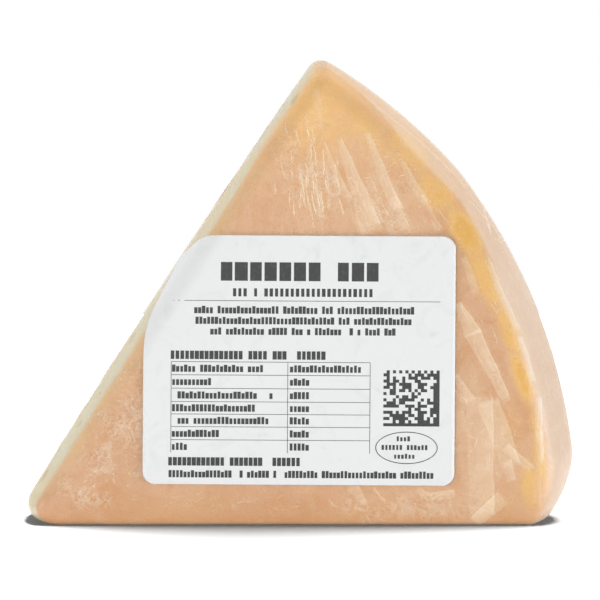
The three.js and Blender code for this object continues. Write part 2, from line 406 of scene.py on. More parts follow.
bulge = CUT_BULGE * (abs(local[:, 1]) / HALF_THICKNESS) ** CUT_BULGE_POWER
store(cheese_mesh, "rim_depth", rim_depth / MM)
store(cheese_mesh, "cut_inset", (bulge - cut_distance(*local.T)) / MM)
store(cheese_mesh, "golden", golden)
on_rind = np.maximum(
    smooth(HALF_THICKNESS - 2 * RIND_THICKNESS, HALF_THICKNESS - RIND_THICKNESS, abs(local[:, 1])),
    smooth(-3 * RIND_THICKNESS, -1.5 * RIND_THICKNESS, -rim_depth),
)
store(cheese_mesh, "paste", 1 - on_rind)
cheese_mesh.transform(Matrix.Translation(TO_FRAME))


def cheese_material():
    """Rind over the faces and the rim, paste on the cuts, both dulled by the film's grip."""
    material, tree, place = new_material("munster")
    peach = (0.64, 0.352, 0.182, 1)
    pale = (0.69, 0.405, 0.23, 1)
    deep = (0.605, 0.285, 0.122, 1)
    gold = (0.805, 0.475, 0.15, 1)
    deep_gold = (0.77, 0.415, 0.085, 1)
    # Painted light: a lighter rind colour, laid on towards the top of the wedge
    painted_top_light = (0.93, 0.56, 0.26, 1)
    thin = (0.79, 0.51, 0.26, 1)
    brown = (0.26, 0.11, 0.05, 1)
    ivory = (0.685, 0.63, 0.45, 1)
    cream = (0.71, 0.60, 0.385, 1)
    # Painted shade for the openings in the paste
    opening_shade = (0.50, 0.36, 0.17, 1)
    _, aside, height = put(tree, "ShaderNodeSeparateXYZ", {0: place}).outputs
    wide = patches(tree, place, 11 * MM, 0.40, 0.62, 0.8)
    close = patches(tree, moved(tree, place, (0.3, 0.1, 0)), 3 * MM, 0.44, 0.60, 1.4)
    warm = patches(tree, moved(tree, place, (0, 0.7, 0.2)), 6 * MM, 0.50, 0.66, 1.0)
    ragged = patches(tree, place, 3 * MM, 0.2, 0.8, 0.5)
    specks = patches(tree, moved(tree, place, (0.5, 0, 0.9)), 0.45 * MM, 0.71, 0.76)
    gilt = product(tree, named(tree, "golden"), calc(tree, "MULTIPLY_ADD", close, -0.3, 1.15))
    # How far each place lies in from the paste that shows along the free cut
    strip = product(
        tree,
        ramp(tree, height, 3 * MM, 11 * MM, -0.2, PASTE_STRIP),
        ramp(tree, height, 50 * MM, 66 * MM, 1.0, -0.6),
    )
    border = calc(tree, "ADD", strip, calc(tree, "MULTIPLY_ADD", ragged, 1.3, -0.65))
    past = calc(tree, "SUBTRACT", named(tree, "cut_inset"), border)
    rind = peach
    for share, over in (
        (product(tree, wide, 0.8), pale),
        (product(tree, close, 0.45), pale),
        (product(tree, warm, 0.5), deep),
        (ramp(tree, gilt, 0.05, 0.9), gold),
        # Painted light: the rind grows lighter towards the top of the wedge
        (ramp(tree, height, 40 * MM, 70 * MM, 0.0, 0.36), painted_top_light),
        (ramp(tree, gilt, 0.9, 1.5), deep_gold),
        (ramp(tree, height, 1 * MM, 8 * MM, 0.5, 0.0), deep),
        (ramp(tree, past, 0.0, 4.0, 0.8, 0.0), thin),
        (product(tree, specks, 0.5), brown),
    ):
        rind = blend(tree, share, rind, over)
    paste = blend(tree, patches(tree, place, 9 * MM, 0.4, 0.6, 0.4), ivory, cream)
    # Painted shade: the sunk openings in the paste are darkened
    paste = blend(tree, product(tree, named(tree, "opening"), 0.55), paste, opening_shade)
    # Rind shows on the two flat faces, past the strip of paste, and on the rim
    depth = calc(tree, "ABSOLUTE", calc(tree, "SUBTRACT", aside, float(TO_FRAME[1])))
    depth = calc(tree, "ADD", depth, ramp(tree, height, 52 * MM, 63 * MM, 0.0, 2.6 * MM))
    on_face = ramp(tree, depth, HALF_THICKNESS - 2 * RIND_THICKNESS, HALF_THICKNESS - 1.2 * MM)
    face_rind = product(tree, ramp(tree, past, -0.6, 0.4), on_face)
    inward = calc(tree, "MULTIPLY_ADD", ragged, -0.7, named(tree, "rim_depth"))
    skin = calc(tree, "MAXIMUM", face_rind, ramp(tree, inward, 0.9, 1.5, 1.0, 0.0))
    grain = noise(tree, place, 0.8 * MM, 2.5)[0]
    pressed = strokes(tree, place, 0.5 * MM, 1.8 * MM, 0.56, 30, 95, 150)
    surface = put(
        tree,
        "ShaderNodeBsdfPrincipled",
        {
            "Base Color": blend(tree, skin, paste, rind),
            "Roughness": ramp(tree, grain, 0.3, 0.7, 0.38, 0.55),
            "Normal": bumped(tree, calc(tree, "MULTIPLY_ADD", pressed, 0.5, grain), 0.2 * MM),
            "Subsurface Weight": 0.12,
            "Subsurface Radius": (1.0, 0.5, 0.25),
            "Subsurface Scale": 2.0 * MM,
            "Coat Weight": 0.15,
            "Coat Roughness": 0.35,
        },
    )
    put(tree, "ShaderNodeOutputMaterial", {"Surface": surface.outputs[0]})
    return material


def attribute(tree, name, kind="FLOAT"):
    """A value that a mesh keeps at its points."""
    made = put(tree, "GeometryNodeInputNamedAttribute", {"Name": name}, data_type=kind)
    return made.outputs["Attribute"]


def keep(tree, geometry, name, value):
    """Stores a number at each point of a geometry, for its material."""
    inputs = {"Geometry": geometry, "Name": name, "Value": value}
    kind = {"data_type": "FLOAT", "domain": "POINT"}
    return put(tree, "GeometryNodeStoreNamedAttribute", inputs, **kind).outputs[0]


def unevenness(tree, size, height):
    """How far a soft noise of a size moves each point out or in: by half its height at most."""
    place = put(tree, "GeometryNodeInputPosition").outputs[0]
    scale = calc(tree, "DIVIDE", 1.0, size)
    cloud = put(tree, "ShaderNodeTexNoise", {"Vector": place, "Scale": scale, "Detail": 3.0})
    return product(tree, calc(tree, "SUBTRACT", cloud.outputs[0], 0.5), height)


def pushed_out(tree, geometry, height):
    """A geometry whose points have moved along their normals by a height."""
    normal = put(tree, "GeometryNodeInputNormal").outputs[0]
    offset = put(tree, "ShaderNodeVectorMath", {0: normal, "Scale": height}, operation="SCALE")
    inputs = {"Geometry": geometry, "Offset": offset.outputs["Vector"]}
    return put(tree, "GeometryNodeSetPosition", inputs).outputs[0]


def hand_out(tree, geometry, material):
    """Ends a tree: its instances become plain mesh, which gets its material."""
    real = put(tree, "GeometryNodeRealizeInstances", {0: geometry}).outputs[0]
    done = put(tree, "GeometryNodeSetMaterial", {"Geometry": real, "Material": material})
    put(tree, "NodeGroupOutput", {"Geometry": done.outputs[0]})
    return tree


def openings_tree():
    """Gives the rind its unevenness and sinks small openings, spread by chance, in the paste."""
    tree, given = node_group(
        "GeometryNodeTree",
        "rind and openings",
        "Geometry",
        "Geometry",
        Geometry="Geometry",
        Float="Relief Size, Relief Height, Openings Per Square Metre, Smallest Opening, "
        "Largest Opening, Opening Depth",
        Int="Seed",
        Material="Material",
    )
    paste = attribute(tree, "paste")
    relief = unevenness(tree, given["Relief Size"], given["Relief Height"])
    inputs = {
        "Mesh": given["Geometry"],
        "Selection": calc(tree, "GREATER_THAN", paste, PURE_PASTE),
        "Density": given["Openings Per Square Metre"],
        "Seed": given["Seed"],
    }
    points = put(tree, "GeometryNodeDistributePointsOnFaces", inputs).outputs["Points"]
    near = put(tree, "GeometryNodeProximity", {0: points}, target_element="POINTS")
    inputs = {
        2: given["Smallest Opening"],
        3: given["Largest Opening"],
        "ID": put(tree, "GeometryNodeSampleNearest", {0: points}, domain="POINT").outputs[0],
        "Seed": given["Seed"],
    }
    size = put(tree, "FunctionNodeRandomValue", inputs, data_type="FLOAT").outputs[1]
    place = put(tree, "GeometryNodeInputPosition").outputs[0]
    wobble = put(tree, "ShaderNodeTexNoise", {"Vector": place, "Scale": OPENING_WOBBLE}).outputs[0]
    wobble = calc(tree, "MULTIPLY_ADD", wobble, 1.6, 0.3)
    distance = calc(tree, "DIVIDE", product(tree, near.outputs["Distance"], wobble), size)
    inside = product(tree, ramp(tree, distance, 0.35, 1.0, 1.0, 0.0), paste)
    sunk = product(tree, inside, given["Opening Depth"])
    kept = keep(tree, given["Geometry"], "opening", inside)
    shaped = pushed_out(tree, kept, calc(tree, "SUBTRACT", relief, sunk))
    return hand_out(tree, shaped, given["Material"])


def made_by(tree, name, mesh, **inputs):
    """The plain mesh object that a Geometry Nodes tree makes from a mesh and its inputs."""
    source = bpy.data.objects.new(name, mesh)
    bpy.context.scene.collection.objects.link(source)
    modifier = source.modifiers.new(tree.name, "NODES")
    modifier.node_group = tree
    for item in tree.interface.items_tree:
        key = item.name.lower().replace(" ", "_")
        if item.in_out == "INPUT" and key in inputs:
            modifier[item.identifier] = inputs[key]
    evaluated = source.evaluated_get(bpy.context.evaluated_depsgraph_get())
    result = bpy.data.meshes.new_from_object(evaluated)
    source.modifiers.remove(modifier)
    source.data = result
    result.name = name
    return source


cheese = made_by(
    openings_tree(),
    "cheese",
    cheese_mesh,
    relief_size=7 * MM,
    relief_height=0.16 * MM,
    openings_per_square_metre=9000.0,
    smallest_opening=0.5 * MM,
    largest_opening=1.9 * MM,
    opening_depth=1.1 * MM,
    seed=4,
    material=cheese_material(),
)
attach(cheese, "root")
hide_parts("wrapped_cheese")


# The film
# Thin clear stretch film, pulled tight round the whole wedge and clinging to it. It is milky
# where it is pleated, lies double or stands off the cheese. Its pleats fan out from the corners
# that it was pulled over, and its finest creases are tapered threads half sunk in it.
FILM_AROUND = 440
FILM_SIDE_ROWS = 100
FILM_FRONT_RINGS = 92
FILM_BACK_RINGS = 22
FILM_DEPTH = 0.05 * MM  # the mesh lies this far under the film's outer side, with its pleats above
FAN_POLE = (41.0, 90.9)  # the front's fine streaks fan out from here: across and up, in mm
# Pleats, in mm and degrees. Each lies on a line from a pole: the side of the wedge, the pole's
# place there, the line's heading, its start and end from the pole, its half width at the start
# and at the end, its height and how milky it is, which also sets the painted shade along its
# steep side. A place is across and up on the two faces, round from the base and deep on the
# rim, and up along the cut and deep on the cut.
PLEATS = (
    ("front", 54.0, 62.6, -70.0, 0.0, 16.9, 0.35, 1.92, 0.30, 0.40),
    ("front", 58.3, 63.4, -67.7, 0.0, 14.4, 0.42, 1.09, 0.28, 0.38),
    ("front", 62.8, 52.9, -69.4, 0.0, 6.8, 0.72, 0.64, 0.10, 0.22),
    ("front", 63.9, 58.7, -61.0, 0.0, 8.6, 0.32, 0.88, 0.14, 0.30),
    ("front", 67.1, 53.1, -61.1, 0.0, 7.0, 0.32, 0.64, 0.12, 0.24),
    ("front", 51.4, 61.8, -65.7, 0.0, 10.9, 0.26, 0.72, 0.18, 0.30),
    ("front", 53.2, 58.2, -81.6, 0.0, 5.5, 0.40, 0.56, 0.10, 0.26),
    ("front", 50.0, 55.3, -78.1, 0.0, 6.2, 0.35, 0.67, 0.10, 0.24),
    ("front", 47.7, 58.2, -86.2, 0.0, 4.8, 0.19, 0.29, 0.12, 0.26),
    ("front", 49.3, 60.6, -85.5, 0.0, 6.1, 0.19, 0.29, 0.10, 0.22),
    ("front", 52.2, 57.1, -87.3, 0.0, 6.7, 0.19, 0.24, 0.12, 0.22),
    ("front", 50.6, 70.3, -88.7, 0.0, 6.9, 0.56, 0.80, 0.06, 0.16),
    ("front", 48.8, 65.6, -84.0, 0.0, 3.1, 0.19, 0.29, 0.06, 0.22),
    ("front", 56.4, 50.1, -61.4, 0.0, 4.0, 0.48, 0.80, 0.08, 0.16),
    ("front", 73.2, 36.1, -66.0, 0.0, 6.3, 0.56, 1.44, 0.25, 0.42),
    ("front", 75.3, 31.3, -62.2, 0.0, 13.1, 1.44, 0.72, 0.25, 0.42),
    ("front", 74.0, 43.3, -70.7, 0.0, 6.8, 0.40, 0.64, 0.12, 0.24),
    ("front", 77.5, 43.2, -66.2, 0.0, 13.5, 0.48, 0.58, 0.10, 0.24),
    ("front", 83.1, 30.5, -74.4, 0.0, 8.3, 0.38, 0.48, 0.08, 0.30),
    ("front", 72.7, 24.4, -59.6, 0.0, 5.4, 0.40, 0.96, 0.14, 0.30),
    ("front", 72.6, 21.7, -47.3, 0.0, 2.8, 0.40, 0.48, 0.06, 0.20),
    ("front", 73.4, 18.5, -82.6, 0.0, 3.7, 0.72, 0.88, 0.06, 0.18),
    ("front", 76.6, 21.4, -88.7, 0.0, 20.7, 2.20, 1.90, 0.08, 0.28),
    ("front", 77.8, 20.4, -69.4, 0.0, 12.3, 1.90, 1.50, 0.10, 0.28),
    ("front", 80.6, 12.9, -40.8, 0.0, 6.1, 0.80, 0.64, 0.06, 0.32),
    ("front", 81.1, 10.6, -76.6, 0.0, 3.5, 0.72, 0.72, 0.06, 0.30),
    ("front", 75.8, 0.5, 40.9, 0.0, 6.4, 0.96, 1.28, 0.06, 0.30),
    ("front", 68.9, 4.7, 6.8, 0.0, 4.0, 0.64, 0.72, 0.06, 0.30),
    ("front", 86.0, 20.9, -86.8, 0.0, 11.6, 0.56, 0.48, 0.05, 0.28),
    ("front", 86.3, 15.5, -92.0, 0.0, 12.5, 0.60, 0.70, 0.05, 0.20),
    ("front", 56.0, 6.6, -53.1, 0.0, 4.0, 0.96, 0.48, 0.10, 0.26),
    ("front", 59.4, 6.3, -48.8, 0.0, 3.4, 0.19, 0.26, 0.08, 0.28),
    ("front", 66.6, 6.0, -32.7, 0.0, 2.7, 0.48, 0.64, 0.06, 0.24),
    ("front", 56.2, 2.9, -9.5, 0.0, 2.0, 0.32, 0.26, 0.05, 0.18),
    ("front", 52.4, 4.2, -41.6, 0.0, 1.9, 0.19, 0.22, 0.05, 0.18),
    ("back", 44.0, 92.0, -83.0, 30.0, 54.0, 0.4, 1.9, 0.20, 0.80),
    ("back", 44.0, 92.0, -72.0, 31.0, 50.0, 0.4, 1.2, 0.18, 0.75),
    ("back", 44.0, 92.0, -64.0, 34.0, 46.0, 0.3, 1.5, 0.16, 0.65),
    ("back", 44.0, 92.0, -57.0, 44.0, 66.0, 0.4, 0.8, 0.12, 0.60),
    ("back", 44.0, 92.0, -90.0, 33.0, 42.0, 0.3, 0.7, 0.12, 0.60),
    ("back", -14.0, -5.0, 16.0, 30.0, 54.0, 0.4, 1.6, 0.18, 0.75),
    ("back", -14.0, -5.0, 26.0, 30.0, 43.0, 0.3, 1.1, 0.14, 0.65),
    ("back", -14.0, -5.0, 36.0, 32.0, 48.0, 0.3, 0.8, 0.12, 0.60),
    ("back", 104.0, -4.0, 152.0, 24.0, 40.0, 0.5, 1.5, 0.18, 0.75),
    ("back", 104.0, -4.0, 164.0, 24.0, 45.0, 0.4, 1.1, 0.14, 0.60),
    ("back", 104.0, -4.0, 138.0, 28.0, 38.0, 0.3, 0.9, 0.12, 0.60),
    ("rim", 78.0, -13.0, 170.0, 0.0, 24.0, 0.9, 0.9, 0.10, 0.3),
    ("rim", 56.0, -11.5, 150.0, 0.0, 9.0, 0.45, 0.60, 0.22, 0.6),
    ("rim", 50.0, -11.0, 48.0, 0.0, 6.0, 0.45, 0.45, 0.22, 0.8),
    ("rim", 6.0, 12.0, -4.0, 0.0, 60.0, 0.50, 0.90, 0.30, 0.6),
    ("rim", 84.0, 9.0, 184.0, 0.0, 46.0, 0.50, 1.10, 0.35, 0.7),
    ("rim", 4.0, 7.5, 3.0, 0.0, 38.0, 0.60, 0.80, 0.28, 0.6),
    ("cut", 88.0, 6.0, 183.0, 0.0, 60.0, 0.50, 1.20, 0.12, 0.7),
    ("cut", 88.0, 10.0, 176.0, 0.0, 34.0, 0.50, 0.90, 0.12, 0.6),
    ("cut", 86.0, -3.0, 188.0, 0.0, 28.0, 0.50, 0.90, 0.10, 0.6),
    ("cut", 6.0, 9.0, -6.0, 0.0, 40.0, 0.50, 1.30, 0.12, 0.7),
    ("cut", 5.0, 2.0, 4.0, 0.0, 26.0, 0.50, 0.80, 0.10, 0.6),
)
PLEAT_STEP = 0.35 * MM
PLEAT_SWAY = 0.12  # how far a pleat swings off its line, in mm
PLEAT_WAVE = 4.0  # how slowly it swings, in mm to the radian
# Clusters of fine creases: side, place and spread in mm, heading and its swing in degrees,
# length and thickness in mm, count
CREASES = (
    ("front", 49.5, 57.5, 4.8, 7.5, -82, 10, 4.4, 0.25, 36),
    ("front", 59.0, 53.0, 3.5, 6.0, -64, 6, 6.0, 0.13, 18),
    ("front", 60.0, 54.0, 6.0, 8.0, 12, 30, 1.3, 0.15, 34),
    ("front", 68.5, 49.0, 4.5, 4.5, -54, 8, 5.0, 0.08, 16),
    ("front", 76.0, 33.0, 2.5, 8.0, -60, 10, 5.0, 0.08, 14),
    ("front", 77.5, 14.0, 6.0, 9.0, -62, 60, 2.6, 0.09, 26),
    ("front", 66.0, 3.2, 11.0, 1.9, -40, 30, 2.4, 0.07, 30),
    ("front", 38.0, 3.0, 12.0, 1.7, 12, 24, 2.4, 0.06, 22),
    ("front", 20.0, 15.0, 7.0, 9.0, 52, 75, 1.2, 0.13, 30),
    ("front", 14.0, 6.5, 4.5, 3.0, 40, 60, 1.4, 0.14, 14),
    ("front", 26.0, 6.0, 6.0, 2.5, 5, 30, 2.2, 0.07, 26),
    ("front", 28.5, 36.0, 3.5, 12.0, 58, 30, 2.2, 0.06, 16),
    ("back", 52.0, 50.0, 14.0, 12.0, -72, 16, 6.0, 0.09, 46),
    ("back", 24.0, 12.0, 14.0, 8.0, 24, 14, 5.0, 0.08, 34),
    ("back", 76.0, 14.0, 9.0, 9.0, 150, 20, 5.0, 0.08, 30),
    ("back", 52.0, 22.0, 16.0, 12.0, 60, 60, 3.0, 0.06, 40),
    ("rim", 62.0, -10.0, 12.0, 4.0, 167, 8, 5.0, 0.06, 8),
    ("rim", 50.0, -10.5, 2.5, 2.0, 140, 60, 2.4, 0.08, 14),
    ("rim", 30.0, 6.0, 26.0, 8.0, 178, 9, 8.0, 0.08, 26),
    ("rim", 74.0, 8.0, 12.0, 6.0, 184, 8, 7.0, 0.08, 18),
    ("cut", 70.0, 3.0, 16.0, 10.0, 182, 14, 6.0, 0.07, 22),
    ("cut", 24.0, 4.0, 18.0, 9.0, -3, 14, 6.0, 0.07, 22),
)
# Places where the film has come away from the cheese: side, place and radii in mm, turn
# anticlockwise in degrees, and how far it has come away
LOOSE_PLACES = (
    ("front", 77.0, 12.0, 6.5, 11.0, -20.0, 0.12),
    ("front", 76.5, 22.0, 4.0, 6.0, -30.0, 0.12),
    ("front", 15.0, 6.8, 5.5, 3.4, 28.0, 1.0),
    ("front", 20.5, 16.0, 6.0, 10.0, -25.0, 0.85),
    ("front", 49.5, 57.0, 4.4, 7.0, 10.0, 1.0),
    ("front", 61.0, 50.5, 5.0, 5.5, 20.0, 0.6),
    ("front", 64.0, 3.2, 11.0, 2.0, 0.0, 0.6),
    ("front", 38.0, 3.0, 8.0, 1.4, 0.0, 0.4),
    ("back", 40.0, 44.0, 7.0, 10.0, -20.0, 0.8),
    ("back", 22.0, 9.0, 8.0, 4.0, 15.0, 0.8),
    ("back", 76.0, 16.0, 7.0, 9.0, 30.0, 0.9),
    ("back", 54.0, 24.0, 7.0, 5.0, 0.0, 0.5),
)
# Places where it lies in broad folds over the cheese, in the same form
FOLDED_PLACES = (
    ("front", 76.0, 9.5, 4.0, 12.0, -8.0, 1.2),
    ("front", 75.0, 23.0, 2.8, 7.0, -30.0, 0.8),
    ("front", 66.0, 3.0, 12.0, 2.6, 0.0, 0.6),
    ("front", 84.0, 6.0, 2.6, 5.0, 0.0, 0.5),
    ("front", 62.0, 56.0, 6.0, 9.0, 30.0, 0.5),
    ("back", 58.0, 40.0, 9.0, 16.0, -30.0, 0.7),
    ("back", 72.0, 10.0, 10.0, 8.0, 0.0, 0.8),
    ("back", 24.0, 10.0, 10.0, 7.0, 20.0, 0.6),
)
# The rim's share of haze at heights in mm
RIM_HAZE = ((5.0, 0.86), (20.0, 1.0), (40.0, 1.0), (58.0, 0.7))
# How far down the front shoulder the haze of the rim begins, in mm, at heights in mm
HAZE_START = ((38.0, 0.0), (45.0, 1.4), (52.0, 2.4), (58.0, 1.0), (62.0, 1.0), (71.0, 4.8))
CREASE_POINTS = 14
CREASE_BEND = 14.0  # the most that half a crease turns, in degrees
CREASE_LENGTHS = (0.35, 1.0)  # the least and the most share of its cluster's length
CREASE_THICKNESSES = (0.6, 1.3)
RIM_START = 0.6 * WHEEL_RADIUS  # where the rays that find the rim begin, from the tip
crease_chance = np.random.default_rng(5)
FACE_FADE = (1.7 * MM, 0.4 * MM)  # how far under the faces the rim's haze is whole, and gone
RIM_FADE = (2.5 * MM, 0.5 * MM)  # how far in from the rim it is gone, and whole
SIDE_FADE = (4 * MM, 1 * MM)  # how far under a face what lies on it is gone, and whole
# Where the front is stretched into fine streaks: heights between which they come and go, and
# distances across from the tip and in from the rim at which they begin and are full
STRETCHED_UP = (34 * MM, 44 * MM, 60 * MM, 66 * MM)
STRETCHED_ACROSS = (38 * MM, 46 * MM)
STRETCHED_INSET = (3 * MM, 7 * MM)
SEAM_DEPTH = 3 * MM  # where the double film on the rim ends
SEAM_SWAY = 1.2 * MM
SEAM_WAVE = 9 * MM
# The label is stuck over the film and presses it flat
LABEL_WIDTH = 50 * MM
LABEL_HEIGHT = 40 * MM
LABEL_THICKNESS = 0.16 * MM
LABEL_LIFT = 0.16 * MM  # from the film's outer side to the middle of the paper
LABEL_CORNER = 2 * MM
LABEL_CENTRE = np.array([47.7, 26.6]) * MM
LABEL_LEAN = math.radians(0.35)  # clockwise, seen from the front
cut_along = np.array([math.cos(SECTOR_ANGLE), 0, math.sin(SECTOR_ANGLE)])
cut_outward = np.array([-math.sin(SECTOR_ANGLE), 0, math.cos(SECTOR_ANGLE)])


def on_skin(side, first, second):
    """The points of the skin at places in mm on one of its sides."""
    first, second = np.asarray(first) * MM, np.asarray(second) * MM
    level = np.stack([0 * second, second, 0 * second], axis=-1)
    if side == "rim":
        turn = first / WHEEL_RADIUS
        way = np.stack([np.cos(turn), 0 * turn, np.sin(turn)], axis=-1)
        return reach(RIM_START * way + level, way, FILM_DEPTH)
    if side == "cut":
        start = first[..., None] * cut_along - SIDE_DEPTH * cut_outward + level
        return reach(start, np.broadcast_to(cut_outward, start.shape), FILM_DEPTH)
    start = np.stack([first, 0 * first, second], axis=-1)
    way = np.zeros_like(start)
    way[..., 1] = -1 if side == "front" else 1
    return reach(start, way, FILM_DEPTH)


def under_label(points, margin):
    """How far each point lies under the label: 1 inside its outline, 0 past a margin round it."""
    x, z = points[:, 0] - LABEL_CENTRE[0], points[:, 2] - LABEL_CENTRE[1]
    across = x * math.cos(LABEL_LEAN) - z * math.sin(LABEL_LEAN)
    up = x * math.sin(LABEL_LEAN) + z * math.cos(LABEL_LEAN)
    past = np.maximum(abs(across) - LABEL_WIDTH / 2, abs(up) - LABEL_HEIGHT / 2)
    return smooth(margin, 0, past) * (points[:, 1] < 0)


def pleat_lines():
    """A mesh of open lines over the skin, one for each pleat, with its sizes at every point."""
    points, edges, headings = [], [], []
    sizes = {"half_width": [], "height": [], "milky": [], "tightness": []}
    for side, first, second, heading, start, end, width, last_width, height, haze in PLEATS:
        turn = math.radians(heading)
        count = int((end - start) * MM / PLEAT_STEP) + 2
        share = np.linspace(0, 1, count)
        run = start + (end - start) * share
        sway = PLEAT_SWAY * np.sin(run / PLEAT_WAVE + heading)
        along = first + run * math.cos(turn) - sway * math.sin(turn)
        aside = second + run * math.sin(turn) + sway * math.cos(turn)
        line = on_skin(side, along, aside)
        edges += [(len(points) + i, len(points) + i + 1) for i in range(count - 1)]
        points += list(line + TO_FRAME)
        ahead = np.gradient(line, axis=0)
        headings.append(ahead / np.linalg.norm(ahead, axis=1)[:, None])
        swell = np.sin(math.pi * (0.12 + 0.86 * share)) ** 0.5
        sizes["half_width"] += list((width + (last_width - width) * share) * MM)
        sizes["height"] += list(height * MM * swell)
        # Painted shade along each pleat's steep side, as strong as the pleat is milky
        sizes["tightness"] += list(haze * swell)
        # The front's pleats are drawn in the film's material instead
        sizes["milky"] += list((0.0 if side == "front" else haze) * swell)
    mesh = bpy.data.meshes.new("pleat lines")
    mesh.from_pydata(points, edges, [])
    for name, values in sizes.items():
        store(mesh, name, values)
    heading = mesh.attributes.new("heading", "FLOAT_VECTOR", "POINT")
    heading.data.foreach_set("vector", np.concatenate(headings).astype(np.float32).ravel())
    return mesh


def crease_lines():
    """A mesh of short open lines over the skin, one for each fine crease, kept off the label."""
    points, edges, radii = [], [], []
    for side, first, second, spread_a, spread_b, heading, swing, length, thick, count in CREASES:
        for _ in range(count):
            at = crease_chance.normal(0, 0.5, 2) * (spread_a, spread_b) + (first, second)
            turn = math.radians(heading + swing * crease_chance.uniform(-1, 1))
            bend = math.radians(crease_chance.uniform(-CREASE_BEND, CREASE_BEND))
            reach_out = length * crease_chance.uniform(*CREASE_LENGTHS)
            size = thick * crease_chance.uniform(*CREASE_THICKNESSES) / 2
            share = np.linspace(-1, 1, CREASE_POINTS)
            way = turn + bend * share
            steps = np.stack([np.cos(way), np.sin(way)], axis=1) * reach_out / CREASE_POINTS
            line = on_skin(side, *(at + np.cumsum(steps, axis=0)).T)
            off_skin = abs(skin_distance(line) + FILM_DEPTH) > FILM_DEPTH
            if off_skin.any() or under_label(line, 0.6 * MM).any():
                continue
            edges += [(len(points) + i, len(points) + i + 1) for i in range(CREASE_POINTS - 1)]
            points += list(line + TO_FRAME)
            radii += list(size * MM * np.sqrt(1.02 - share**2))
    mesh = bpy.data.meshes.new("crease lines")
    mesh.from_pydata(points, edges, [])
    store(mesh, "thread_radius", radii)
    return mesh


def vector(tree, operation, *values):
    """The vector that a Vector Math node makes of two or three vectors."""
    made = put(tree, "ShaderNodeVectorMath", dict(enumerate(values)), operation=operation)
    return made.outputs["Vector"]


def dot(tree, first, second):
    """How far one vector reaches along another."""
    made = put(tree, "ShaderNodeVectorMath", {0: first, 1: second}, operation="DOT_PRODUCT")
    return made.outputs["Value"]


def combined(tree, x=0.0, y=0.0, z=0.0):
    """A vector put together from its three parts."""
    return put(tree, "ShaderNodeCombineXYZ", {0: x, 1: y, 2: z}).outputs[0]


def shards(tree, place, width, length, degrees):
    """Angular patches of about a width and a length, in metres, each with its own random tone
    from 0 to 1, as overlapping layers of crumpled film show."""
    sway = noise(tree, place, width / 0.6, 2.0)["Color"]
    pushed = vector(tree, "MULTIPLY_ADD", sway, (width, width, width), place)
    along = drawn_out(tree, pushed, width, length, degrees)
    cells = put(tree, "ShaderNodeTexVoronoi", {"Vector": along, "Scale": 1 / width})
    return put(tree, "ShaderNodeSeparateColor", {0: cells.outputs["Color"]}).outputs[0]


def pleats_tree():
    """Raises a skin into pleats along lines: each has a gentle side and a steep one."""
    tree, given = node_group(
        "GeometryNodeTree",
        "film pleats",
        "Geometry",
        "Geometry",
        Geometry="Geometry",
        Object="Lines",
        Float="Steep Side, Ripple Size, Ripple Height",
        Material="Material",
    )
    lines = put(tree, "GeometryNodeObjectInfo", {"Object": given["Lines"]}).outputs["Geometry"]
    place = put(tree, "GeometryNodeInputPosition").outputs[0]
    normal = put(tree, "GeometryNodeInputNormal").outputs[0]
    near = put(tree, "GeometryNodeProximity", {0: lines}, target_element="EDGES").outputs
    which = put(tree, "GeometryNodeSampleNearest", {0: lines}, domain="POINT").outputs[0]

    def sampled(name, kind="FLOAT"):
        """What the lines keep under a name at their nearest point."""
        inputs = {"Geometry": lines, "Value": attribute(tree, name, kind), "Index": which}
        made = put(tree, "GeometryNodeSampleIndex", inputs, data_type=kind, domain="POINT")
        return made.outputs[0]

    away = vector(tree, "SUBTRACT", place, near["Position"])
    beside = vector(tree, "CROSS_PRODUCT", sampled("heading", "FLOAT_VECTOR"), normal)
    steep = calc(tree, "GREATER_THAN", dot(tree, away, beside), 0.0)
    narrower = calc(tree, "SUBTRACT", given["Steep Side"], 1.0)
    width = product(tree, sampled("half_width"), calc(tree, "MULTIPLY_ADD", steep, narrower, 1.0))
    share = calc(tree, "DIVIDE", near["Distance"], width)
    ridge = ramp(tree, share, 0.0, 1.0, 1.0, 0.0)
    flat = ramp(tree, share, 0.8, 1.05, 1.0, 0.0)
    # A narrow band just past each steep side, where painted shade is laid
    foot = product(tree, ramp(tree, share, 0.9, 1.2), ramp(tree, share, 1.4, 2.1, 1.0, 0.0), steep)
    free = calc(tree, "SUBTRACT", 1.0, attribute(tree, "covered"))
    lift = product(tree, ridge, sampled("height"), free)
    lift = calc(tree, "ADD", lift, unevenness(tree, given["Ripple Size"], given["Ripple Height"]))
    kept = keep(tree, given["Geometry"], "pleat", product(tree, flat, sampled("milky")))
    # Kept for the film's material as painted shade beside the pleat
    kept = keep(tree, kept, "tight", product(tree, foot, sampled("tightness")))
    return hand_out(tree, pushed_out(tree, kept, lift), given["Material"])


def creases_tree():
    """Turns lines into tapered threads."""
    tree, given = node_group(
        "GeometryNodeTree",
        "film creases",
        "Geometry",
        "Geometry",
        Geometry="Geometry",
        Float="Milkiness",
        Int="Sides",
        Material="Material",
    )
    inputs = {"Resolution": given["Sides"], "Radius": 1.0}
    ring = put(tree, "GeometryNodeCurvePrimitiveCircle", inputs).outputs[0]
    inputs = {
        "Curve": put(tree, "GeometryNodeMeshToCurve", {0: given["Geometry"]}).outputs[0],
        "Profile Curve": ring,
        "Scale": attribute(tree, "thread_radius"),
        "Fill Caps": True,
    }
    threads = put(tree, "GeometryNodeCurveToMesh", inputs).outputs[0]
    kept = keep(tree, threads, "pleat", given["Milkiness"])
    return hand_out(tree, kept, given["Material"])


FOLD_EDGE = 0.09 * MM  # half the width over which a crisp strip fades out
FOLD_SWAY = 1.0 * MM  # how far the crisp strips wander off their straight lines


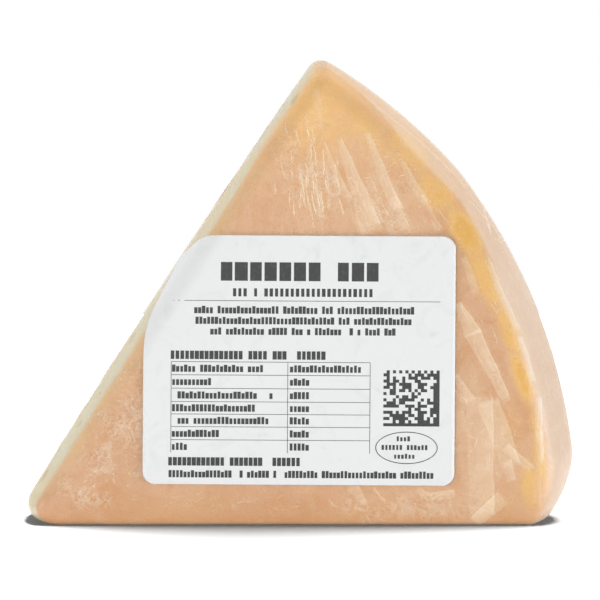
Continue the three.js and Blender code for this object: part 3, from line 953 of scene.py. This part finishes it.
def fold_group():
    """One crisp-edged milky strip of doubled film, which widens along its way, added to the layers
    under it. It is painted lighter towards one of its edges, with a painted highlight in a thin
    line along that edge."""
    group, given = node_group(
        "ShaderNodeTree",
        "film fold",
        "Layers",
        "Float",
        Vector="Place, Start, Ahead, Aside",
        Float="Length, First Width, Last Width, Milky, Under",
    )
    offset = vector(group, "SUBTRACT", given["Place"], given["Start"])
    share = calc(group, "DIVIDE", dot(group, offset, given["Ahead"]), given["Length"])
    inputs = {"Value": share, "To Min": given["First Width"], "To Max": given["Last Width"]}
    width = put(group, "ShaderNodeMapRange", inputs).outputs[0]
    across = dot(group, offset, given["Aside"])
    inset = calc(group, "SUBTRACT", width, calc(group, "ABSOLUTE", across))
    body = ramp(group, inset, -FOLD_EDGE, FOLD_EDGE)
    ends = product(group, ramp(group, share, 0.0, 0.06), ramp(group, share, 0.9, 1.0, 1.0, 0.0))
    # Painted light: the strip grows milkier towards one edge
    painted_lit_side = ramp(group, calc(group, "DIVIDE", across, width), -1.0, 1.0, 0.6, 1.0)
    # Painted highlight: a thin bright line just inside that edge
    line = ramp(group, calc(group, "SUBTRACT", width, across), FOLD_EDGE, 4 * FOLD_EDGE, 0.25, 0.0)
    strength = product(group, given["Milky"], calc(group, "ADD", painted_lit_side, line))
    milky = product(group, body, ends, strength)
    put(group, "NodeGroupOutput", {"Layers": calc(group, "ADD", milky, given["Under"])})
    return group


folds_group = fold_group()


def front_folds(tree, place):
    """All crisp strips on the labelled face, one over another."""
    centred = vector(tree, "SUBTRACT", noise(tree, place, 5 * MM, 3.5)["Color"], (0.5, 0.5, 0.5))
    swayed = vector(tree, "MULTIPLY_ADD", centred, (FOLD_SWAY, FOLD_SWAY, FOLD_SWAY), place)
    layers = 0.0
    for side, first, second, heading, start, end, width, last_width, _, milky in PLEATS:
        if side != "front":
            continue
        turn = math.radians(heading)
        across = (first + start * math.cos(turn)) * MM + float(TO_FRAME[0])
        inputs = {
            "Place": swayed,
            "Start": (across, 0, (second + start * math.sin(turn)) * MM),
            "Ahead": (math.cos(turn), 0, math.sin(turn)),
            "Aside": (-math.sin(turn), 0, math.cos(turn)),
            "Length": (end - start) * MM,
            "First Width": width * MM,
            "Last Width": last_width * MM,
            "Milky": milky,
            "Under": layers,
        }
        layers = put(tree, "ShaderNodeGroup", inputs, node_tree=folds_group).outputs[0]
    return layers


def film_material():
    """Clear film: seen through where it clings, milky in its pleats, on the rim and in pockets, and
    darkened to a deeper brown by painted shade beside its pleats and in its crinkles' hollows. The
    pleats are drawn as crisp strips on the labelled face, and elsewhere as the mesh has them."""
    material, tree, place = new_material("cling film")
    milky = (0.96, 0.76, 0.535, 1)
    doubled = (0.93, 0.825, 0.70, 1)
    # Painted shade: the dark brown laid beside the pleats and in the crinkles' hollows
    painted_shade_brown = (0.42, 0.19, 0.07, 1)
    parts = put(tree, "ShaderNodeSeparateXYZ", {0: place}).outputs
    across = calc(tree, "SUBTRACT", parts[0], float(TO_FRAME[0]) + FAN_POLE[0] * MM)
    down = calc(tree, "SUBTRACT", FAN_POLE[1] * MM, parts[2])
    turn = calc(tree, "ARCTAN2", across, down)
    run = calc(tree, "SQRT", calc(tree, "MULTIPLY_ADD", across, across, product(tree, down, down)))
    fan = combined(tree, product(tree, turn, 0.05), product(tree, run, 0.12), parts[1])
    streaks = patches(tree, fan, 0.8 * MM, 0.53, 0.58, 0.5, 2.0)
    cross_fan = combined(tree, product(tree, turn, 0.02), run, parts[1])
    wrinkled = patches(tree, cross_fan, 1.1 * MM, 0.42, 0.56, 0.6, 2.0)
    wrinkled = calc(tree, "MULTIPLY_ADD", wrinkled, 0.35, 0.72)
    crumpled = calc(tree, "MULTIPLY_ADD", named(tree, "loose"), 0.85, 0.15)
    clumps = patches(tree, moved(tree, place, (0.2, 0, 0.4)), 4.5 * MM, 0.40, 0.60, 0.5)
    crumpled = product(tree, clumps, crumpled)
    flecks = strokes(tree, place, 0.6 * MM, 2.2 * MM, 0.55, 20, 65, 110, 160)
    flecks = product(tree, flecks, crumpled)
    # Painted shade: short dark strokes in the hollows between the crumpled film's crinkles
    crinkle_shade = strokes(tree, moved(tree, place, (0.7, 0, 0.1)), 0.4 * MM, 1.8 * MM, 0.58, 0, 50, 125)
    crinkle_shade = product(tree, crinkle_shade, crumpled)
    folds = calc(tree, "MULTIPLY_ADD", shards(tree, place, 2.2 * MM, 5 * MM, 35), 0.6, 0.05)
    folds = calc(tree, "MULTIPLY_ADD", shards(tree, place, 1.5 * MM, 3 * MM, 150), 0.4, folds)
    lifted = product(tree, folds, named(tree, "folded"))
    deep = calc(tree, "SUBTRACT", parts[1], float(TO_FRAME[1]) - HALF_THICKNESS)
    on_front = ramp(tree, deep, 4 * MM, 8 * MM, 1.0, 0.0)
    rim_zone = named(tree, "rim_zone")
    double = calc(tree, "MULTIPLY_ADD", named(tree, "double"), 0.16, 0.26)
    angle = calc(tree, "ARCTAN2", parts[2], calc(tree, "SUBTRACT", parts[0], float(TO_FRAME[0])))
    round_rim = combined(tree, product(tree, angle, 0.02), parts[1])
    cloudy = patches(tree, round_rim, 6 * MM, 0.35, 0.75, 0.6)
    haze = product(tree, rim_zone, calc(tree, "MULTIPLY_ADD", cloudy, 0.06, double))
    # Painted sheen: the film turns milkier where it is seen edge-on
    facing = put(tree, "ShaderNodeLayerWeight", {"Blend": 0.3}).outputs["Facing"]
    for part, strength in (
        (product(tree, named(tree, "pleat"), wrinkled), 0.5),
        (product(tree, front_folds(tree, place), on_front), 1.05),
        (lifted, 0.14),
        (flecks, 0.34),
        (product(tree, streaks, named(tree, "stretched")), 0.08),
        (calc(tree, "POWER", facing, 3.0), 0.12),
    ):
        haze = calc(tree, "MULTIPLY_ADD", part, strength, haze)
    haze = calc(tree, "ADD", haze, 0.03)
    # Painted shade, in the dark brown: along the pleats' steep sides and in the crinkles' hollows
    drawn = product(tree, named(tree, "tight"), 0.22)
    dark = calc(tree, "MULTIPLY_ADD", crinkle_shade, 0.18, drawn)
    total = calc(tree, "ADD", haze, dark)
    colour = blend(tree, calc(tree, "MULTIPLY_ADD", flecks, 0.5, rim_zone), milky, doubled)
    colour = blend(tree, calc(tree, "DIVIDE", dark, total), colour, painted_shade_brown)
    share = put(tree, "ShaderNodeClamp", {0: total, 1: 0.0, 2: 0.85}).outputs[0]
    relief = calc(tree, "MULTIPLY_ADD", flecks, 0.8, noise(tree, fan, 0.5 * MM, 3.0)[0])
    relief = calc(tree, "MULTIPLY_ADD", lifted, 0.5, relief)
    surface = put(
        tree,
        "ShaderNodeBsdfPrincipled",
        {
            "Base Color": colour,
            "Roughness": 0.42,
            "Normal": bumped(tree, relief, 0.15 * MM),
            "Specular IOR Level": 0.25,
            "Coat Weight": 0.06,
            "Coat Roughness": 0.2,
        },
    )
    clear = put(tree, "ShaderNodeBsdfTransparent")
    mixed = put(tree, "ShaderNodeMixShader", {0: share, 1: clear.outputs[0], 2: surface.outputs[0]})
    put(tree, "ShaderNodeOutputMaterial", {"Surface": mixed.outputs[0]})
    return material


film_rows, film_ends = skin_rows(
    FILM_AROUND, FILM_SIDE_ROWS, FILM_FRONT_RINGS, FILM_BACK_RINGS, FILM_DEPTH
)
film_mesh = closed_mesh("film", film_rows, film_ends)
local = coordinates(film_mesh)
rim_depth = -rim_distance(*local.T)
haze_start = np.interp(local[:, 2] / MM, *zip(*HAZE_START)) * MM
side_depth = np.maximum(abs(local[:, 1]), haze_start - local[:, 1])
face_share = smooth(HALF_THICKNESS - FACE_FADE[0], HALF_THICKNESS - FACE_FADE[1], side_depth)
rim_zone = smooth(-RIM_FADE[0], -RIM_FADE[1], -rim_depth) * (1 - face_share)
rim_zone *= np.interp(local[:, 2] / MM, *zip(*RIM_HAZE))
store(film_mesh, "rim_zone", rim_zone)
store(film_mesh, "covered", under_label(local, 1.5 * MM))
on_side = {}
for side, toward in (("front", -1), ("back", 1)):
    under_face = HALF_THICKNESS - toward * local[:, 1]
    on_side[side] = smooth(SIDE_FADE[0], SIDE_FADE[1], under_face)
for name, places, blur in (("loose", LOOSE_PLACES, 0.5), ("folded", FOLDED_PLACES, 0.25)):
    level = np.zeros(len(local))
    for side, across, up, radius_across, radius_up, degrees, strength in places:
        turn = math.radians(degrees)
        offset = local[:, [0, 2]] - np.array([across, up]) * MM
        sideways = offset @ np.array([math.cos(turn), math.sin(turn)]) / (radius_across * MM)
        onwards = offset @ np.array([-math.sin(turn), math.cos(turn)]) / (radius_up * MM)
        spot = smooth(1 + blur, 1 - blur, np.hypot(sideways, onwards))
        level = np.maximum(level, strength * spot * on_side[side])
    store(film_mesh, name, level)
low, full, last_full, high = STRETCHED_UP
stretched = smooth(low, full, local[:, 2]) * smooth(high, last_full, local[:, 2])
stretched *= smooth(*STRETCHED_ACROSS, local[:, 0]) * smooth(*STRETCHED_INSET, rim_depth)
store(film_mesh, "stretched", stretched * on_side["front"])
seam = SEAM_DEPTH + SEAM_SWAY * np.sin(local[:, 2] / SEAM_WAVE)
store(film_mesh, "double", smooth(0.5 * MM, -0.5 * MM, local[:, 1] - seam))
film_mesh.transform(Matrix.Translation(TO_FRAME))
cling = film_material()
line_object = bpy.data.objects.new("pleat_lines", pleat_lines())
bpy.context.scene.collection.objects.link(line_object)
film = made_by(
    pleats_tree(),
    "film",
    film_mesh,
    lines=line_object,
    steep_side=0.4,
    ripple_size=3 * MM,
    ripple_height=0.08 * MM,
    material=cling,
)
bpy.data.objects.remove(line_object)
creases = made_by(
    creases_tree(), "film_creases", crease_lines(), milkiness=0.9, sides=6, material=cling
)
for piece in (film, creases):
    piece.visible_shadow = False  # it lets the light through
    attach(piece, "root")
    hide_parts("wrapped_cheese")


# The label
# A plain white paper sticker with round corners, stuck over the film by hand a little out of
# true. Its left end is folded round the edge of the cheese onto the free cut face.
LABEL_COLUMNS = 110
LABEL_ROWS = 84
LABEL_PATH_STEPS = 160
LABEL_CORNER_ROWS = 9
# Soft waves of the paper: radians across and up in 10 mm, phase, height in mm
LABEL_WAVES = ((3.1, 1.9, 0.4, 0.018), (-2.2, 3.4, 1.7, 0.014), (5.6, -1.2, 2.9, 0.009))


def label_path():
    """The paper's way from the flat rind face round onto the cut: its insets from the free cut
    when flat, and its distances past the inner point, depths and normals when bent."""
    inner = WHEEL_RADIUS / 2 * cut_along - SIDE_DEPTH * cut_outward
    turn = np.linspace(-math.pi / 2, 0, TRACE_STEPS)
    direction = np.cos(turn)[:, None] * cut_outward
    direction[:, 1] = np.sin(turn)
    line = spread(reach(inner, direction), LABEL_PATH_STEPS)
    section = np.stack([(line - inner) @ cut_outward, line[:, 1]], axis=1)
    heading = np.gradient(section, axis=0)
    heading /= np.linalg.norm(heading, axis=1)[:, None]
    normal = np.stack([heading[:, 1], -heading[:, 0]], axis=1)
    place = section + LABEL_LIFT * normal
    run = np.r_[0, np.cumsum(np.linalg.norm(np.diff(place, axis=0), axis=1))]
    return SIDE_DEPTH - run, place, normal


path_inset, path_place, path_normal = label_path()


def bend_label(flat):
    """Places flat points, across and up from the label's middle and out from the paper, on the
    cheese, in the frame's metres."""
    across, up, out = np.asarray(flat, dtype=float).T
    lean_cos, lean_sin = math.cos(LABEL_LEAN), math.sin(LABEL_LEAN)
    x = LABEL_CENTRE[0] + across * lean_cos + up * lean_sin
    z = LABEL_CENTRE[1] - across * lean_sin + up * lean_cos
    for wave_x, wave_z, phase, height in LABEL_WAVES:
        share = (wave_x * x + wave_z * z) / (10 * MM)
        out = out + height * MM * np.sin(share + phase)
    inset = -(x * cut_outward[0] + z * cut_outward[2])
    rising = slice(None, None, -1)  # the insets fall along the way

    def follow(values):
        """Values along the paper's way, read off at each point's inset."""
        return np.interp(inset, path_inset[rising], values[rising])

    over = np.minimum(inset, SIDE_DEPTH) - inset
    place = np.stack([follow(path_place[:, 0]) + over, follow(path_place[:, 1])], axis=1)
    normal = np.stack([follow(path_normal[:, 0]), follow(path_normal[:, 1])], axis=1)
    place += out[:, None] * normal / np.linalg.norm(normal, axis=1)[:, None]
    points = (x * cut_along[0] + z * cut_along[2])[:, None] * cut_along
    points = points + (place[:, 0] - SIDE_DEPTH)[:, None] * cut_outward
    points[:, 1] = place[:, 1]
    return points + TO_FRAME


def label_mesh():
    """The bent paper: a front and a back grid whose rows shorten in the round corners, and
    the cut edge between them."""
    straight = LABEL_HEIGHT / 2 - LABEL_CORNER
    turn = np.linspace(0, math.pi / 2, LABEL_CORNER_ROWS)
    corner_rows = straight + LABEL_CORNER * np.sin(turn)
    rows = np.r_[-corner_rows[:0:-1], np.linspace(-straight, straight, LABEL_ROWS), corner_rows[1:]]
    past = np.clip(abs(rows) - straight, 0, LABEL_CORNER)
    half_width = LABEL_WIDTH / 2 - LABEL_CORNER + np.sqrt(LABEL_CORNER**2 - past**2)
    share = np.linspace(-1, 1, LABEL_COLUMNS)
    across = half_width[:, None] * share
    up = np.repeat(rows[:, None], LABEL_COLUMNS, axis=1)
    sheets = []
    for side in (1, -1):
        out = np.full(across.shape, side * LABEL_THICKNESS / 2)
        sheets.append(np.stack([across, up, out], axis=-1).reshape(-1, 3))
    grid = np.arange(across.size).reshape(across.shape)
    corners = [grid[:-1, :-1], grid[:-1, 1:], grid[1:, 1:], grid[1:, :-1]]
    front = np.stack(corners, axis=-1).reshape(-1, 4)
    back = grid.size + front[:, ::-1]
    here = np.r_[grid[0], grid[1:, -1], grid[-1, -2::-1], grid[-2:0:-1, 0]]
    ahead = np.roll(here, -1)
    edge = np.stack([here, grid.size + here, grid.size + ahead, ahead], axis=1)
    faces = np.concatenate([front, back, edge]).tolist()
    mesh = bpy.data.meshes.new("label paper")
    mesh.from_pydata(bend_label(np.concatenate(sheets)).tolist(), [], faces)
    mesh.shade_smooth()
    return mesh


def paper_material():
    """White coated paper with faint grey smudges and a fine tooth."""
    material, tree, place = new_material("label paper")
    white_paper = (0.83, 0.84, 0.835, 1)
    smudged = (0.70, 0.73, 0.74, 1)
    wide = patches(tree, place, 5 * MM, 0.50, 0.70, 1.8)
    fine = patches(tree, moved(tree, place, (0.1, 0.2, 0.3)), 1.6 * MM, 0.52, 0.75, 1.0)
    smudge = product(tree, wide, calc(tree, "MULTIPLY_ADD", fine, 0.6, 0.25))
    colour = blend(tree, product(tree, smudge, 0.9), white_paper, smudged)
    tooth = bumped(tree, noise(tree, place, 0.12 * MM, 3.0)[0], 0.02 * MM, 0.2)
    inputs = {"Base Color": colour, "Roughness": 0.5, "Normal": tooth}
    surface = put(tree, "ShaderNodeBsdfPrincipled", inputs)
    put(tree, "ShaderNodeOutputMaterial", {"Surface": surface.outputs[0]})
    return material


label = bpy.data.objects.new("label_paper", label_mesh())
bpy.context.scene.collection.objects.link(label)
label.data.materials.append(paper_material())
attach(label, "root")
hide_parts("label")


# The print on the label
# Black thermal print in plain marks: rows of small upright blocks where such a label has its
# words, thin rules with a table, a square of small squares and an oval ring. It holds no
# lettering.
INK_HEIGHT = 0.02 * MM  # how far the ink stands off the paper
# Rows of blocks, in mm from the label's middle: left, right, foot, block height, block width,
# pitch, share of the places left empty between words
WORD_ROWS = (
    (-11.7, 4.9, 12.7, 3.0, 2.1, 2.35, 0.0),
    (7.0, 14.1, 12.7, 3.0, 2.1, 2.35, 0.0),
    (-10.4, 12.8, 10.2, 1.3, 0.60, 0.84, 0.12),
    (-16.6, 19.0, 7.45, 1.2, 0.56, 0.62, 0.06),
    (-16.4, 18.7, 5.75, 1.15, 0.56, 0.62, 0.10),
    (-14.0, 16.1, 4.05, 1.15, 0.56, 0.62, 0.15),
    (-20.3, 5.3, 0.10, 1.35, 0.72, 0.78, 0.10),
    (-20.1, -5.0, -1.95, 1.15, 0.57, 0.64, 0.12),
    (-1.2, 10.4, -1.95, 1.15, 0.57, 0.64, 0.05),
    (-20.1, -13.5, -4.08, 1.15, 0.57, 0.64, 0.05),
    (-1.2, 2.0, -4.08, 1.15, 0.57, 0.64, 0.0),
    (-19.2, -3.4, -6.24, 1.15, 0.57, 0.64, 0.15),
    (-1.2, 2.0, -6.24, 1.15, 0.57, 0.64, 0.0),
    (-20.1, -6.6, -8.3, 1.15, 0.57, 0.64, 0.10),
    (-1.2, 2.0, -8.3, 1.15, 0.57, 0.64, 0.0),
    (-19.2, -4.4, -10.3, 1.15, 0.57, 0.64, 0.15),
    (-1.2, 2.0, -10.3, 1.15, 0.57, 0.64, 0.0),
    (-20.1, -11.9, -12.4, 1.15, 0.57, 0.64, 0.0),
    (-1.2, 2.0, -12.4, 1.15, 0.57, 0.64, 0.0),
    (-20.1, -17.4, -14.5, 1.15, 0.57, 0.64, 0.0),
    (-1.2, 2.0, -14.5, 1.15, 0.57, 0.64, 0.0),
    (-20.6, 1.9, -17.0, 1.35, 0.70, 0.76, 0.10),
    (-20.6, 22.4, -18.9, 1.15, 0.54, 0.60, 0.13),
    (15.9, 18.7, -12.9, 0.8, 0.42, 0.58, 0.0),
    (13.5, 21.2, -14.3, 0.8, 0.42, 0.58, 0.1),
    (15.5, 19.1, -15.7, 0.8, 0.42, 0.58, 0.0),
)
EVEN_WIDTH = 0.58  # rows of blocks wider than this are even in height
# The table, the rules, the square and the oval, in mm from the label's middle
TABLE_LEFT, TABLE_MIDDLE, TABLE_RIGHT = -20.5, -1.8, 11.4
TABLE_RULES = (-0.32, -2.43, -4.59, -6.72, -8.72, -10.75, -12.85)
TABLE_FOOT = -14.9
RULE_WIDTH = 0.09
HEAD_RULE = (-20.3, 22.6, 9.5)  # its left and right ends and its height
SQUARE_CENTRE = (18.05, -6.0)
SQUARE_MODULES = 18
SQUARE_SIZE = 9.0
OVAL_CENTRE = (17.3, -13.95)
OVAL_RADII = (5.0, 2.6)
OVAL_LINE = 0.14
OVAL_STEPS = 72


def words_tree():
    """Fills each row with upright blocks at its pitch, uneven in width and height, and leaves
    gaps between words by chance."""
    tree, given = node_group(
        "GeometryNodeTree",
        "rows of blocks",
        "Geometry",
        "Geometry",
        Geometry="Geometry",
        Float="Ink Height, Least Width, Tall Share, Short Height",
        Int="Seed",
        Material="Material",
    )

    def chance(low, high, offset):
        """A random number for each block, from one draw of the seed."""
        inputs = {2: low, 3: high, "Seed": calc(tree, "ADD", given["Seed"], offset)}
        return put(tree, "FunctionNodeRandomValue", inputs, data_type="FLOAT").outputs[1]

    pitch = attribute(tree, "pitch")
    inputs = {
        "Geometry": given["Geometry"],
        "Amount": calc(tree, "FLOOR", calc(tree, "DIVIDE", attribute(tree, "row_length"), pitch)),
    }
    copies, number = put(tree, "GeometryNodeDuplicateElements", inputs, domain="POINT").outputs
    inputs = {"Geometry": copies, "Offset": combined(tree, product(tree, number, pitch))}
    placed = put(tree, "GeometryNodeSetPosition", inputs).outputs[0]
    inner = calc(tree, "GREATER_THAN", number, 1.5)
    empty = calc(tree, "LESS_THAN", chance(0.0, 1.0, 1.0), attribute(tree, "gaps"))
    inputs = {"Geometry": placed, "Selection": product(tree, empty, inner)}
    words = put(tree, "GeometryNodeDeleteGeometry", inputs).outputs[0]
    width = product(tree, attribute(tree, "width"), chance(given["Least Width"], 1.0, 2.0))
    tall = calc(tree, "LESS_THAN", chance(0.0, 1.0, 3.0), given["Tall Share"])
    taller = calc(tree, "SUBTRACT", 1.0, given["Short Height"])
    share = calc(tree, "MULTIPLY_ADD", tall, taller, given["Short Height"])
    share = calc(tree, "MAXIMUM", share, attribute(tree, "even"))
    height = product(tree, attribute(tree, "block_height"), share)
    inputs = {
        "Points": words,
        "Instance": put(tree, "GeometryNodeMeshCube").outputs["Mesh"],
        "Scale": combined(tree, width, height, given["Ink Height"]),
    }
    inputs = {
        "Instances": put(tree, "GeometryNodeInstanceOnPoints", inputs).outputs[0],
        "Translation": combined(tree, 0.0, product(tree, height, 0.5)),
        "Local Space": False,
    }
    lifted = put(tree, "GeometryNodeTranslateInstances", inputs).outputs[0]
    return hand_out(tree, lifted, given["Material"])


def ink_material():
    """Soft black, a little greyer where the print has taken less well."""
    material, tree, place = new_material("label ink")
    faint = patches(tree, place, 0.6 * MM, 0.45, 0.75)
    colour = blend(tree, faint, (0.022, 0.022, 0.024, 1), (0.045, 0.045, 0.048, 1))
    surface = put(tree, "ShaderNodeBsdfPrincipled", {"Base Color": colour, "Roughness": 0.55})
    put(tree, "ShaderNodeOutputMaterial", {"Surface": surface.outputs[0]})
    return material


ink = ink_material()
row_mesh = bpy.data.meshes.new("word rows")
row_mesh.from_pydata([(row[0] * MM, row[2] * MM, 0) for row in WORD_ROWS], [], [])
store(row_mesh, "row_length", [(row[1] - row[0]) * MM for row in WORD_ROWS])
for column, name in ((3, "block_height"), (4, "width"), (5, "pitch")):
    store(row_mesh, name, [row[column] * MM for row in WORD_ROWS])
store(row_mesh, "gaps", [row[6] for row in WORD_ROWS])
store(row_mesh, "even", [1.0 if row[4] > EVEN_WIDTH else 0.0 for row in WORD_ROWS])
label_print = made_by(
    words_tree(),
    "label_print",
    row_mesh,
    ink_height=INK_HEIGHT,
    least_width=0.75,
    tall_share=0.5,
    short_height=0.8,
    seed=3,
    material=ink,
)

marks = []  # flat marks as four corners each, anticlockwise, in mm
# Each becomes a thin box, whose points are its corners on top and then those below
BOX_FACES = ((0, 1, 2, 3), (7, 6, 5, 4), (0, 4, 5, 1), (1, 5, 6, 2), (2, 6, 7, 3), (3, 7, 4, 0))


def oblong(left, right, low, high):
    """One flat mark with its corners in turn."""
    marks.append(((left, low), (right, low), (right, high), (left, high)))


def bar(left, right, low, high):
    """A plain bar, in lengths of about 1 mm so that it can follow the paper."""
    steps = max(1, round(right - left))
    edges = np.linspace(left, right, steps + 1)
    for a, b in zip(edges, edges[1:]):
        oblong(a, b, low, high)


def post(at, low, high):
    """An upright rule, in lengths of about 1 mm too."""
    steps = max(1, round(high - low))
    edges = np.linspace(low, high, steps + 1)
    half = RULE_WIDTH / 2
    for a, b in zip(edges, edges[1:]):
        oblong(at - half, at + half, a, b)


bar(HEAD_RULE[0], HEAD_RULE[1], HEAD_RULE[2] - RULE_WIDTH / 2, HEAD_RULE[2] + RULE_WIDTH / 2)
for rule in TABLE_RULES:
    bar(TABLE_LEFT, TABLE_RIGHT, rule - RULE_WIDTH / 2, rule + RULE_WIDTH / 2)
for at in (TABLE_LEFT, TABLE_MIDDLE, TABLE_RIGHT):
    post(at, TABLE_FOOT, TABLE_RULES[0])
# The square has two full edges and two dashed ones, with chance between them
chances = np.random.default_rng(11)
module = SQUARE_SIZE / SQUARE_MODULES
for row in range(SQUARE_MODULES):
    for column in range(SQUARE_MODULES):
        dark = chances.random() < 0.5
        if row == 0 or column == SQUARE_MODULES - 1:
            dark = True
        elif row == SQUARE_MODULES - 1:
            dark = column % 2 == 1
        elif column == 0:
            dark = row % 2 == 0
        if dark:
            left = SQUARE_CENTRE[0] - SQUARE_SIZE / 2 + column * module
            low = SQUARE_CENTRE[1] - SQUARE_SIZE / 2 + row * module
            oblong(left, left + module, low, low + module)
for step in range(OVAL_STEPS):
    corners = []
    for turn, grow in ((step, 0), (step + 1, 0), (step + 1, OVAL_LINE), (step, OVAL_LINE)):
        angle = 2 * math.pi * turn / OVAL_STEPS
        corners.append(
            (
                OVAL_CENTRE[0] + (OVAL_RADII[0] - grow) * math.cos(angle),
                OVAL_CENTRE[1] + (OVAL_RADII[1] - grow) * math.sin(angle),
            )
        )
    marks.append(corners)

flat_points, mark_faces = [], []
for corners in marks:
    first = len(flat_points)
    for side in (1, -1):
        flat_points += [(x * MM, y * MM, side * INK_HEIGHT / 2) for x, y in corners]
    mark_faces += [[first + i for i in face] for face in BOX_FACES]
rules_mesh = bpy.data.meshes.new("rules")
rules_mesh.from_pydata(flat_points, [], mark_faces)
joined = bmesh.new()
joined.from_mesh(label_print.data)
joined.from_mesh(rules_mesh)
joined.to_mesh(label_print.data)
joined.free()
label_print.data.materials.clear()
label_print.data.materials.append(ink)
for polygon in label_print.data.polygons:
    polygon.material_index = 0
print_points = coordinates(label_print.data)
print_points[:, 2] += LABEL_THICKNESS / 2
label_print.data.vertices.foreach_set("co", bend_label(print_points).ravel())
label_print.data.update()
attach(label_print, "root")
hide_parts("label")


# The table and the light
# A plain white table top in a light room. Large soft lamps stand in front, on each side, behind
# and overhead, and a low one stands in for the light that the table throws back. One more lamp,
# a little behind, lights the table alone and throws the soft shadow forward.
TABLE_RADIUS = 0.9
TABLE_STEPS = 96

turns = [2 * math.pi * i / TABLE_STEPS for i in range(TABLE_STEPS)]
table_mesh = bpy.data.meshes.new("table")
table_mesh.from_pydata(
    [(TABLE_RADIUS * math.cos(turn), TABLE_RADIUS * math.sin(turn), 0) for turn in turns],
    [],
    [list(range(TABLE_STEPS))],
)
table = bpy.data.objects.new("table", table_mesh)
bpy.context.scene.collection.objects.link(table)
white, white_tree, white_place = new_material("white table top")
cloudy = patches(white_tree, white_place, 0.4, 0.3, 0.7)
table_colour = blend(white_tree, cloudy, (0.94, 0.94, 0.94, 1), (0.95, 0.95, 0.95, 1))
matt = put(white_tree, "ShaderNodeBsdfPrincipled", {"Base Color": table_colour, "Roughness": 0.7})
put(white_tree, "ShaderNodeOutputMaterial", {"Surface": matt.outputs[0]})
table.data.materials.append(white)
table.visible_diffuse = False
table.visible_shadow = False
table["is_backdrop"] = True


def lamp(name, lit, place, target, width, height, power, shines=True):
    """An oblong soft lamp that faces a target and lights the objects of one collection. Unless
    it shines, it leaves no highlights."""
    light = bpy.data.lights.new(name, "AREA")
    light.shape = "RECTANGLE"
    light.size = width
    light.size_y = height
    light.energy = power
    made = bpy.data.objects.new(name, light)
    made.location = place
    made.rotation_euler = (Vector(target) - Vector(place)).to_track_quat("-Z", "Y").to_euler()
    made.light_linking.receiver_collection = lit
    made.visible_glossy = shines
    bpy.context.scene.collection.objects.link(made)


wedge = bpy.data.collections.new("wrapped wedge")
for piece in (cheese, film, creases, label, label_print):
    wedge.objects.link(piece)
    piece.visible_diffuse = False  # it throws no coloured light back on the table
top = bpy.data.collections.new("table top")
top.objects.link(table)
lamp("front lamp", wedge, (-0.5, -1.6, 0.15), (0, 0, 0.03), 1.4, 0.5, 10.0)
lamp("right lamp", wedge, (1.5, -0.5, 0.0), (0, 0, 0.04), 1.2, 0.5, 18.7)
lamp("left lamp", wedge, (-1.5, -0.5, 0.25), (0, 0, 0.04), 1.2, 0.5, 12)
lamp("back lamp", wedge, (0.2, 1.7, 0.1), (0, 0, 0.03), 1.4, 0.5, 10, False)
lamp("top lamp", wedge, (0.1, 0.8, 2.0), (0, 0, 0.03), 1.4, 1.4, 37, False)
lamp("low lamp", wedge, (0, -0.9, -1.2), (0, 0, 0.02), 1.6, 0.8, 10.2, False)
lamp("table lamp", top, (0.4, 0.93, 1.8), (0.4, 0.93, 0), 0.6, 1.85, 97)
world = bpy.data.worlds.new("soft room")
world.use_nodes = True
room = world.node_tree
room.nodes.clear()
# The room is white in view, less so in highlights, and gives little light of its own
path = put(room, "ShaderNodeLightPath").outputs
strength = ramp(room, path["Is Glossy Ray"], 0, 1, 0.1, 0.8)
strength = calc(room, "MAXIMUM", path["Is Camera Ray"], strength)
glow = put(room, "ShaderNodeBackground", {"Color": (1, 1, 1, 1), "Strength": strength})
put(room, "ShaderNodeOutputWorld", {"Surface": glow.outputs[0]})
bpy.context.scene.world = world
bpy.context.scene.view_settings.view_transform = "Standard"


# The camera
# It stands a metre in front of the labelled face and only a little above it. Its long lens makes
# that face as large in the picture as it is in the photo.
CAMERA_DISTANCE = 1.0
CAMERA_RISE = math.radians(2.0)
MM_PER_PIXEL = 0.1603
IMAGE_SIZE = 600
AIM_HEIGHT = 36.27 * MM
SENSOR = 36.0

camera_data = bpy.data.cameras.new("camera")
camera_data.sensor_width = SENSOR
camera_data.lens = SENSOR * CAMERA_DISTANCE / (IMAGE_SIZE * MM_PER_PIXEL * MM)
camera_data.clip_start = 0.01
camera = bpy.data.objects.new("camera", camera_data)
camera.location = (
    0,
    node_low.y - CAMERA_DISTANCE * math.cos(CAMERA_RISE),
    AIM_HEIGHT + CAMERA_DISTANCE * math.sin(CAMERA_RISE),
)
camera.rotation_euler = (math.pi / 2 - CAMERA_RISE, 0, 0)
bpy.context.scene.collection.objects.link(camera)
bpy.context.scene.camera = camera

low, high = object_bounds()
